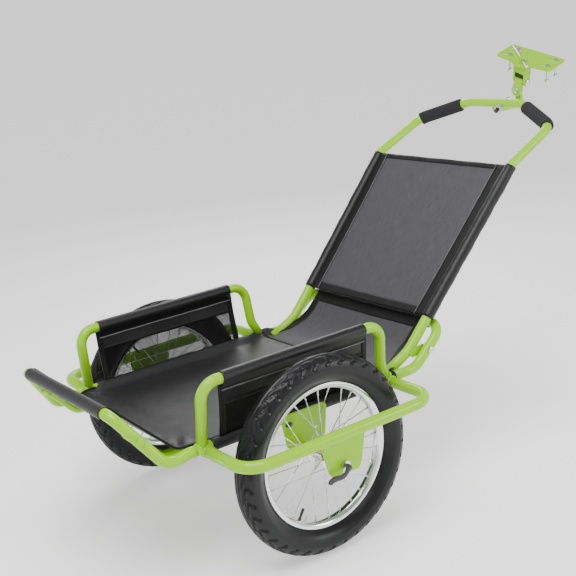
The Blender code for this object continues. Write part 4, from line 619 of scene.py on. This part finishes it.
def woven(name, thread, gap, pitch, open_from=None, **uniform):
    """A woven surface with threads along both directions of the cloth's own map, in metres.

    A wave of scale pi / 10 / pitch repeats once per pitch. Where the product of the two waves
    passes open_from, the cloth has a hole. Its tint goes from thread to gap in long fine streaks.
    """
    made, tree, shader = surface(name, **uniform)
    place = add(tree, "ShaderNodeUVMap", uv_map="cloth").outputs["UV"]
    warp, weft = (
        add(tree, "ShaderNodeTexWave", {"Vector": place, "Scale": pi / 10 / pitch, "Distortion": 0.6},
            wave_type="BANDS", bands_direction=way).outputs["Fac"]
        for way in ("X", "Y"))
    over = add(tree, "ShaderNodeMath", {0: warp, 1: weft}, operation="MULTIPLY").outputs["Value"]
    cloud = add(tree, "ShaderNodeTexNoise", {"Vector": place, "Scale": 26.0, "Detail": 4.0}).outputs["Fac"]
    fibres = add(tree, "ShaderNodeVectorMath", {0: place, 1: FIBRES}, operation="MULTIPLY").outputs["Vector"]
    streak = add(tree, "ShaderNodeTexNoise", {"Vector": fibres, "Scale": 1.0, "Detail": 3.0}).outputs["Fac"]
    shade = add(tree, "ShaderNodeMapRange", {"Value": streak, "From Min": 0.38, "From Max": 0.62})
    tinted(tree, shader, shade.outputs["Result"], thread, gap)
    rough_between(tree, shader, cloud, uniform["Roughness"] - 0.08, uniform["Roughness"] + 0.12)
    bumpy(tree, shader, over, 0.35, 0.0003)
    if open_from is not None:
        cover = add(tree, "ShaderNodeMath", {0: over, 1: open_from}, operation="LESS_THAN")
        tree.links.new(cover.outputs["Value"], shader.inputs["Alpha"])
    return made


coated = woven("coated_cloth", (0.018, 0.018, 0.019), (0.011, 0.011, 0.012), 0.0012, Roughness=0.42,
               Specular_IOR_Level=0.30)
# The upper walls and the leg sleeves use the bed's coated cloth; this copy is coloured darker as painted
# shade, to offset the light the walls take from the glowing floor. It is also glossier.
shaded_wall_cloth = woven("shaded_wall_cloth", (0.011, 0.011, 0.011), (0.006, 0.006, 0.006), 0.0012, Roughness=0.36,
                   Specular_IOR_Level=0.30)
binding = woven("binding_tape", (0.006, 0.006, 0.006), (0.003, 0.003, 0.003), 0.0009, Roughness=0.5,
                Specular_IOR_Level=0.22)
net = woven("wall_net", (0.004, 0.004, 0.004), (0.002, 0.002, 0.002), 0.0017, 0.34, Roughness=0.6,
            Specular_IOR_Level=0.15)
mesh_cloth = woven("mesh_cloth", (0.074, 0.072, 0.079), (0.050, 0.049, 0.054), 0.0024, 0.66, Roughness=0.6,
                   Specular_IOR_Level=0.25)
# Pale thread for stitched lines; on the walls its light colour is partly a painted highlight where the
# stitched edge catches the light.
highlight_and_stitch_line = woven("stitched_edge_and_highlight", (0.160, 0.160, 0.165), (0.060, 0.060, 0.062), 0.0022, Roughness=0.35)


def lengths(grid, axis):
    """Distances run along one direction of a grid of points, from its first row or column."""
    steps = np.linalg.norm(np.diff(grid, axis=axis), axis=2)
    nothing = np.zeros_like(np.take(steps, [0], axis=axis))
    return np.concatenate([nothing, np.cumsum(steps, axis=axis)], axis=axis)


def cloth(name, grid, material, stands_for=(), body="chassis", thickness=CLOTH):
    """A sheet through a grid of points, as thick as the cloth, with its own map in metres."""
    mesh = grid_mesh(name, grid, uv=np.stack([lengths(grid, 1), lengths(grid, 0)], axis=2))
    made = piece(name, mesh, material, body, stands_for)
    thick = made.modifiers.new("thickness", "SOLIDIFY")
    thick.thickness = thickness
    thick.offset = 0.0
    return made


def sleeve(name, path, radius, material, body="chassis"):
    """A cloth tube sewn round a steel one, closed at both ends, with its own map in metres."""
    grid = tube_grid(path, radius)
    wrapped = np.concatenate([grid, grid[:, :1]], axis=1)
    mapped = np.stack([lengths(wrapped, 1), lengths(wrapped, 0)], axis=2)
    mesh = grid_mesh(name, grid, around=True, capped=True, uv=mapped)
    return piece(name, mesh, material, body)


def dense(points, step=0.004):
    """Evenly spaced points on the broken line through some points, no more than a step apart."""
    points = np.asarray(points, dtype=float)
    run = np.concatenate([[0], np.cumsum(np.linalg.norm(np.diff(points, axis=0), axis=1))])
    marks = np.linspace(0, run[-1], int(run[-1] / step) + 2)
    return np.stack([np.interp(marks, run, column) for column in points.T], axis=1)


# Bed. One coated sheet, sewn round the lip's crossbar in front and round both side tubes, with
# a cord in its front edges. It sags a little and puckers where the front corners are pulled in.
LIP_X, LIP_Z = -0.378, 0.372
SLOPE_FOOT = (-0.262, BED_Z)
SLEEVE = TUBE + 0.0013
BED_HEM, HEM_GAP = 0.034, 0.0082
RAIL_RISE = 0.196
reach = hypot(SLOPE_FOOT[0] - LIP_X, SLOPE_FOOT[1] - LIP_Z)
line = atan2(SLOPE_FOOT[1] - LIP_Z, SLOPE_FOOT[0] - LIP_X)
tangent = np.arccos(SLEEVE / reach)
wrap_angle = np.linspace(line + tangent, line + 2 * pi - tangent, 30)
wrap = np.stack([LIP_X + SLEEVE * np.cos(wrap_angle), LIP_Z + SLEEVE * np.sin(wrap_angle)], axis=1)
hem = np.array([LIP_X + BED_HEM * cos(line) - HEM_GAP * sin(line),
                LIP_Z + BED_HEM * sin(line) + HEM_GAP * cos(line)])
floor_line = bent_path([(0.240, 0, BED_Z), (SLOPE_FOOT[0], 0, BED_Z), (wrap[0][0], 0, wrap[0][1])], [0.045])
profile = np.vstack([dense(floor_line)[:, [0, 2]], wrap[1:], hem])
edge_x = [LIP_X - 0.02, -0.354, -0.310, -0.240, -0.212, -0.203, 0.240]
edge_y = [0.160, 0.160, 0.190, 0.2149, 0.2149, SIDE_Y, SIDE_Y]
half_width = np.interp(profile[:, 0], edge_x, edge_y)[:, None]
share = np.linspace(-1, 1, 97)[None, :]
across = half_width * share
on_floor = smooth_step(profile[:, :1], -0.30, -0.22)
flat_x = profile[:, :1] + 0 * share
free = smooth_step(flat_x, -0.215, -0.10) * (1 - smooth_step(flat_x, 0.16, 0.235))
sag = 0.0035 * free * (1 - share ** 2) * (1 + 0.3 * np.sin(9 * flat_x))
lift = SLEEVE * on_floor * smooth_step(np.abs(across), RAIL_RISE, SIDE_Y)
corner = np.exp(-((flat_x + 0.242) / 0.028) ** 2 - ((np.abs(across) - 0.180) / 0.036) ** 2)
pucker = 0.0022 * corner * (1 + np.sin(150 * flat_x + 95 * np.abs(across)))
ripple = 0.0007 * free * np.sin(17 * flat_x + 11 * across) * (1 - share ** 4)
height = profile[:, 1:] + 0 * share - sag + lift + pucker + ripple
bed = cloth("bed_cloth", np.stack([flat_x, across, height], axis=2), coated, ["bed_fabric"])

for side, sign in SIDES:
    rail_run = np.stack([np.linspace(-0.206, 0.236, 90), np.full(90, sign * SIDE_Y),
                         np.full(90, BED_Z)], axis=1)
    sleeve("bed_edge_" + side, rail_run, SLEEVE, coated)
    forward = slice(int(np.argmax(profile[:, 0] < -0.215)), len(profile) - len(wrap))
    cord = np.stack([profile[forward, 0], sign * (half_width[forward, 0] - 0.001),
                     height[forward, -1] + 0.0006], axis=1)
    sleeve("bed_cord_" + side, cord, 0.0026, binding)
seam_at = int(np.argmax(profile[:, 0] < LIP_X + 0.030))
for label, shift in (("high", 0), ("low", 5)):
    row = np.stack([flat_x, across, height + 0.0010], axis=2)[seam_at - shift, 2:-2]
    sleeve("bed_front_seam_" + label, row, 0.0008, highlight_and_stitch_line)
rear_row = np.stack([flat_x, across, height + 0.0010], axis=2)[3, 3:-3]
sleeve("bed_rear_stitch", rear_row, 0.0007, highlight_and_stitch_line)


# Walls. Above the seam each wall is coated cloth, coloured darker than the bed as painted shade,
# doubled over the hoop's rail as a sleeve with a light stitched edge whose pale colour is partly a
# painted highlight; below it is open net down to the side tube. Both ends are bound in tape.
WALL_FRONT, WALL_REAR = -0.178, 0.168
SEAM_Z = 0.352
WALL_FOOT_Z = BED_Z + SLEEVE
WALL_HEM = 0.024
WALL_BOW = 0.003
TAPE_HALF = 0.006


def wall_grid(sign, x, heights, off):
    """A strip of wall between heights, set off outward from the hoop's plane. It bows outward by
    WALL_BOW * sin(pi * share of its height) and waves a little along its length."""
    place_x, place_z = np.meshgrid(x, heights, indexing="xy")
    part = (place_z - WALL_FOOT_Z) / (RAIL_Z - WALL_FOOT_Z)
    soft = np.sin(pi * np.clip(part, 0, 1))
    wave = 0.0010 * soft * (np.sin(31 * place_x + 4 * part) + 0.6 * np.sin(74 * place_x - 3 * part))
    out = lean(place_z) + off + WALL_BOW * soft + wave
    return np.stack([place_x, sign * out, place_z], axis=2)


for side, sign in SIDES:
    run_x = np.linspace(WALL_FRONT, WALL_REAR, 120)
    net_grid = wall_grid(sign, run_x, np.linspace(WALL_FOOT_Z, SEAM_Z + 0.004, 26), 0.0)
    low = cloth("wall_net_" + side, net_grid, net, thickness=MESH)
    turn_over = np.linspace(0, pi, 22)
    outer = wall_grid(sign, run_x, np.linspace(SEAM_Z, RAIL_Z, 16), 0.0)
    swell = smooth_step(outer[..., 2], RAIL_Z - WALL_HEM, RAIL_Z)
    outer[..., 1] += sign * SLEEVE * swell
    over = np.stack([
        run_x[None, :] + 0 * turn_over[:, None],
        sign * (lean(RAIL_Z) + SLEEVE * np.cos(turn_over)[:, None]) + 0 * run_x[None, :],
        RAIL_Z + SLEEVE * np.sin(turn_over)[:, None] + 0 * run_x[None, :],
    ], axis=2)
    inner = wall_grid(sign, run_x, np.linspace(RAIL_Z, RAIL_Z - 0.026, 8), -0.0018)
    inner[..., 1] -= sign * (SLEEVE - 0.0018) * smooth_step(inner[..., 2], RAIL_Z - WALL_HEM, RAIL_Z)
    # The wall's coated cloth here is the darker copy, its darker tone painted shade.
    high = cloth("shaded_wall_cloth_" + side, np.concatenate([outer, over[1:], inner[1:]]), shaded_wall_cloth,
                 ["wall_fabric_" + side])
    # Pale stitched lines below the rail, outside and inside, whose light colour is partly a painted
    # highlight along the sleeve's edge.
    for label, off in (("outer", 0.0016), ("inner", -0.0034)):
        line_grid = wall_grid(sign, run_x, np.full(2, RAIL_Z - WALL_HEM - 0.0005), off)
        sleeve("wall_stitch_highlight_" + label + "_" + side, line_grid[0], 0.0013, highlight_and_stitch_line)
    for label, end_x in (("front", WALL_FRONT), ("rear", WALL_REAR)):
        tape_x = np.linspace(end_x - TAPE_HALF, end_x + TAPE_HALF, 5)
        tape = wall_grid(sign, tape_x, np.linspace(WALL_FOOT_Z - 0.002, RAIL_Z - 0.0115, 30), -0.0002)
        cloth("wall_tape_" + label + "_" + side, tape, binding, thickness=0.0042)
    seam = wall_grid(sign, run_x, np.linspace(SEAM_Z - 0.004, SEAM_Z + 0.003, 3), 0.0)
    cloth("wall_seam_" + side, seam, binding, thickness=0.0034)


# Sling. A strip of mesh cloth from the bed's rear seam up to the rear crossbar, which it is sewn
# round. Its sides curve in and are bound in black, and a black tab goes round each side tube.
CROSS_X, CROSS_Z = 0.405, 0.345
sling_line = dense(bent_path(
    [(0.236, 0, BED_Z - 0.0004), (0.291, 0, 0.285), (0.345, 0, 0.306),
     (CROSS_X - 0.006, 0, CROSS_Z + SLEEVE - 0.001)], [0.10, 0.12]), 0.005)[:, [0, 2]]
over_angle = np.linspace(radians(118), radians(-140), 22)
over_bar = np.stack([CROSS_X + SLEEVE * np.cos(over_angle), CROSS_Z + SLEEVE * np.sin(over_angle)], axis=1)
sling_path = np.vstack([sling_line, over_bar])
sling_edge = np.interp(sling_path[:, 0], [0.236, 0.255, 0.275, 0.300, 0.330, 0.360, 0.395],
                       [SIDE_Y, 0.222, 0.208, 0.194, 0.186, 0.184, 0.186])


def sling_grid(low_share, high_share, columns=73):
    """The part of the sling between two shares of its half width, sagging across its middle."""
    share = np.linspace(low_share, high_share, columns)[None, :]
    middle = np.exp(-((sling_path[:, :1] - 0.31) / 0.05) ** 2)
    drop = 0.007 * middle * (1 - share ** 2)
    ripple = 0.0008 * middle * np.sin(40 * sling_edge[:, None] * share)
    x = sling_path[:, :1] + 0 * share
    y = sling_edge[:, None] * share
    near_bed = 1 - smooth_step(sling_path[:, :1], 0.248, 0.285)
    lift = SLEEVE * smooth_step(np.abs(y), RAIL_RISE, SIDE_Y) * near_bed
    return np.stack([x, y, sling_path[:, 1:] - drop + lift + ripple], axis=2)


sling = cloth("sling_mesh", sling_grid(-1, 1), mesh_cloth, ["rear_sling"],
              thickness=MESH)
for side, sign in SIDES:
    band = sling_grid(0.90 * sign, 1.012 * sign, columns=9)[:len(sling_line)]
    cloth("sling_binding_" + side, band, binding, thickness=0.0038)
    tab = np.array([(0.2445, sign * SIDE_Y, BED_Z), (0.2545, sign * SIDE_Y, BED_Z)])
    sleeve("sling_tab_" + side, dense(tab, 0.003), TUBE + 0.0018, binding)
head_rows = slice(int(np.argmax(sling_path[:, 0] > 0.376)), len(sling_path))
cloth("sling_head", sling_grid(-1, 1)[head_rows], binding, thickness=0.0034)
join = sling_grid(-1, 1)[:3]
cloth("sling_seam", join, binding, thickness=0.0036)


# Tongue. One bent tube: two legs, two shoulders and a hitch bar. Each leg pivots on a bolt through
# an ear that is welded to it.
TONGUE_LEG = [(0.256, 0.2025, 0.271), (0.323, 0.2025, 0.301), (0.655, 0.2185, 0.654)]
SHOULDER = (0.790, 0.213, 0.716)
BAR = (0.845, 0.085, 0.756)
tongue_corners = TONGUE_LEG + [SHOULDER, BAR]
tongue_bends = [0.100, 0.030, 0.040, 0.050]
tongue_path = bent_path(tongue_corners + other_side(tongue_corners), tongue_bends + tongue_bends[::-1])
tube("tongue_frame", tongue_path, TUBE, "tongue", ["tongue_tube"])
dress(["tongue_ear_left", "tongue_ear_right"], powder_coat)
dress(["tongue_bolt_left", "tongue_bolt_right"], zinc)


# Back panel. Grey mesh cloth stretched between the tongue's legs, with wide black hems and a
# black sleeve sewn round each leg.
PANEL_LOW, PANEL_HIGH = 0.178, 0.984
knee, neck = np.array(TONGUE_LEG[1]), np.array(TONGUE_LEG[2])
leg_length = np.linalg.norm(neck - knee)
leg_way = (neck - knee) / leg_length
facing = np.array([-leg_way[2], 0.0, leg_way[0]])


def panel_grid(low, high, inner, outer, rows=2, columns=2, raised=0.004):
    """A part of the panel between two shares of the leg and between two distances from the
    middle, each given as (share of the leg's own distance, metres added)."""
    along = np.linspace(low, high, rows)[:, None]
    leg_y = knee[1] + (neck[1] - knee[1]) * along
    start = inner[0] * leg_y + inner[1]
    end = outer[0] * leg_y + outer[1]
    y = start + (end - start) * np.linspace(0, 1, columns)[None, :]
    slack = 1 - (y / leg_y) ** 2
    hollow = raised - 0.006 * slack * np.sin(pi * (along - PANEL_LOW) / (PANEL_HIGH - PANEL_LOW))
    hollow = hollow + 0.0006 * slack * np.sin(60 * y + 9 * along)
    x = knee[0] + (neck[0] - knee[0]) * along + facing[0] * hollow
    z = knee[2] + (neck[2] - knee[2]) * along + facing[2] * hollow
    return np.stack([x, y, z], axis=2)


HEM_START, HEM_END = 0.0105, 0.036
panel = cloth("panel_mesh", panel_grid(PANEL_LOW, PANEL_HIGH, (-1, 0.006), (1, -0.006), 90, 80), mesh_cloth,
              ["mesh_panel"], "tongue", MESH)
for label, low, high, rows in (("top", PANEL_HIGH - 0.012 / leg_length, PANEL_HIGH, 4),
                               ("low", PANEL_LOW, PANEL_LOW + 0.020 / leg_length, 5)):
    hem_grid = panel_grid(low, high, (-1, 0.008), (1, -0.008), rows, 60)
    cloth("panel_hem_" + label, hem_grid, binding, (), "tongue", 0.0036)
for side, sign in SIDES:
    inner_edge = (sign, -sign * HEM_END)
    hem_rows = panel_grid(PANEL_LOW, PANEL_HIGH, inner_edge, (sign, -sign * HEM_START), 60, 7)
    hem_rows = hem_rows if sign > 0 else hem_rows[:, ::-1]
    cloth("panel_hem_" + side, hem_rows, binding, (), "tongue", 0.0040)
    leg_run = (knee + (neck - knee) * np.linspace(PANEL_LOW, PANEL_HIGH, 70)[:, None]) * [1, sign, 1]
    fold = np.linspace(0, 1, 70)
    creases = TUBE + 0.0022 + 0.0004 * np.sin(31 * fold) + 0.0002 * np.sin(83 * fold)
    # The sleeves use the walls' cloth, coloured darker than the bed's as painted shade.
    sleeve("panel_sleeve_" + side, leg_run, creases, shaded_wall_cloth, "tongue")
    seam_run = panel_grid(PANEL_LOW, PANEL_HIGH, inner_edge, inner_edge, 60, 1, 0.0062)
    sleeve("panel_stitch_" + side, seam_run[:, 0], 0.0008, highlight_and_stitch_line, "tongue")


# Grips. Two tubes of closed-cell foam pushed on from the shoulders, dull black, with pores and
# soft rounded ends.
foam, tree, shader = surface("grip_foam", Roughness=0.86, Specular_IOR_Level=0.25)
place = add(tree, "ShaderNodeTexCoord").outputs["Object"]
cells = add(tree, "ShaderNodeTexVoronoi", {"Vector": place, "Scale": 900.0}).outputs["Distance"]
tinted(tree, shader, cells, (0.009, 0.009, 0.010), (0.024, 0.024, 0.026))
bumpy(tree, shader, cells, 0.35, 0.0004)
GRIP = 0.0158
SHOULDER_BEND = 0.040
down_bar = (np.array(BAR) - SHOULDER) / np.linalg.norm(np.array(BAR) - SHOULDER)
bar_turn = np.arccos(-down_bar[1])
grip_end = np.array(BAR) - down_bar * (0.050 * tan(bar_turn / 2) + 0.010)
shoulder_run = bent_path([neck, SHOULDER, grip_end], [SHOULDER_BEND])
grip_run = dense(shoulder_run[len(shoulder_run) // 2:], 0.0015)
grip_mark = np.linspace(0, 1, len(grip_run))
to_end = np.minimum(grip_mark, 1 - grip_mark) * np.linalg.norm(grip_run[-1] - grip_run[0])
soft_end = np.sqrt(1 - (1 - np.clip(to_end / 0.004, 0, 1)) ** 2)
grip_radius = GRIP - 0.0042 * (1 - soft_end)
for side, sign in SIDES:
    grip_grid = tube_grid(grip_run * [1, sign, 1], grip_radius, 40)
    grip_mesh = grid_mesh("foam_grip_" + side, grip_grid, around=True, capped=True)
    grip = piece("foam_grip_" + side, grip_mesh, foam, "tongue", ["grip_" + side])


# Hitch. Bracket, link, fork and rack plate are bent or machined steel with the frame's coating,
# on zinc-plated bolts. The plunger's knob and the fork's bushing are black.
dress(["hitch_bracket", "hitch_link", "hitch_fork", "rack_plate"], powder_coat)
dress(["plunger_hexagon", "hitch_dome_nut", "roll_bolt", "pitch_bolt", "swivel_rod", "clamp_bolt_1",
       "clamp_bolt_2", "clamp_bolt_3", "clamp_bolt_4"], zinc)
dress(["plunger_knob"], black_plastic)
dress(["fork_pad"], rubber)


# Stand. A tube bent to a U that folds down from the front lip, coated with the frame, with two
# plastic feet. Its pivot bolts are coated over.
dress(["stand_tube", "stand_bolt_left", "stand_bolt_right"], powder_coat)
dress(["stand_cap_left", "stand_cap_right"], black_plastic)


# Quick-release levers. Moulded black levers, curved like a slack S, thicker and wider where they
# turn on the axle's end, with rounded edges.
LEVER_Y = 0.3791
LEVER = 0.058
LEVER_DOWN = np.array([-0.894154, 0.0, -0.447759])
LEVER_SIDE = np.array([0.447759, 0.0, -0.894154])
for side, sign in SIDES:
    t = np.linspace(0, 1, 60)[:, None]
    outward = np.array([0.0, sign, 0.0])
    centre = (np.array([0.0, sign * LEVER_Y, WHEEL_RADIUS]) + LEVER_DOWN * (LEVER * t - 0.004)
              + LEVER_SIDE * (0.0075 * np.sin(2 * pi * (t - 0.08)) * (0.35 + 0.65 * t))
              + outward * (0.0030 * np.sin(pi * t) - 0.0012))
    half_wide = 0.0056 + 0.0030 * np.exp(-((t - 0.05) / 0.10) ** 2) + 0.0012 * smooth_step(t, 0.55, 0.95)
    tip = np.sqrt(1 - (2 * t - 1) ** 16)
    half_thick = 0.0020 + 0.0028 * np.exp(-((t - 0.03) / 0.10) ** 2)
    angle = np.linspace(0, 2 * pi, 28, endpoint=False)
    along = np.gradient(centre, axis=0)
    along /= np.linalg.norm(along, axis=1, keepdims=True)
    wide_way = np.cross(along, outward)
    wide_way /= np.linalg.norm(wide_way, axis=1, keepdims=True)
    thick_way = np.cross(wide_way, along)
    grid = (centre[:, None] + wide_way[:, None] * (half_wide * tip * np.cos(angle))[..., None]
            + thick_way[:, None] * (half_thick * tip * np.sin(angle))[..., None])
    lever_mesh = grid_mesh("lever_arm_" + side, grid[:, ::-1], around=True, capped=True)
    piece("lever_arm_" + side, lever_mesh, black_plastic, "lever_" + side,
          ["quick_release_lever_" + side])


# Bracket plugs. A black plastic plug closes the slot in the upper front corner of each inner
# bracket. It is a flat ellipsoid, half sunk in the bracket's face.
for side, sign in SIDES:
    low, high = (np.array(corner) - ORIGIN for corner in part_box("inner_bracket_" + side))
    face_y = max(abs(low[1]), abs(high[1]))
    polar = np.linspace(0.02, pi - 0.02, 14)[:, None]
    angle = np.linspace(0, 2 * pi, 28, endpoint=False)[None, :]
    plug = np.stack([
        low[0] + 0.016 + 0.009 * np.sin(polar) * np.cos(angle),
        sign * (face_y + 0.0030 * np.cos(polar)) + 0 * angle,
        high[2] - 0.020 + 0.0055 * np.sin(polar) * np.sin(angle),
    ], axis=2)
    plug = plug if sign < 0 else plug[:, ::-1]
    plug_mesh = grid_mesh("bracket_plug_" + side, plug, around=True, capped=True)
    piece("bracket_plug_" + side, plug_mesh, black_plastic, "chassis")
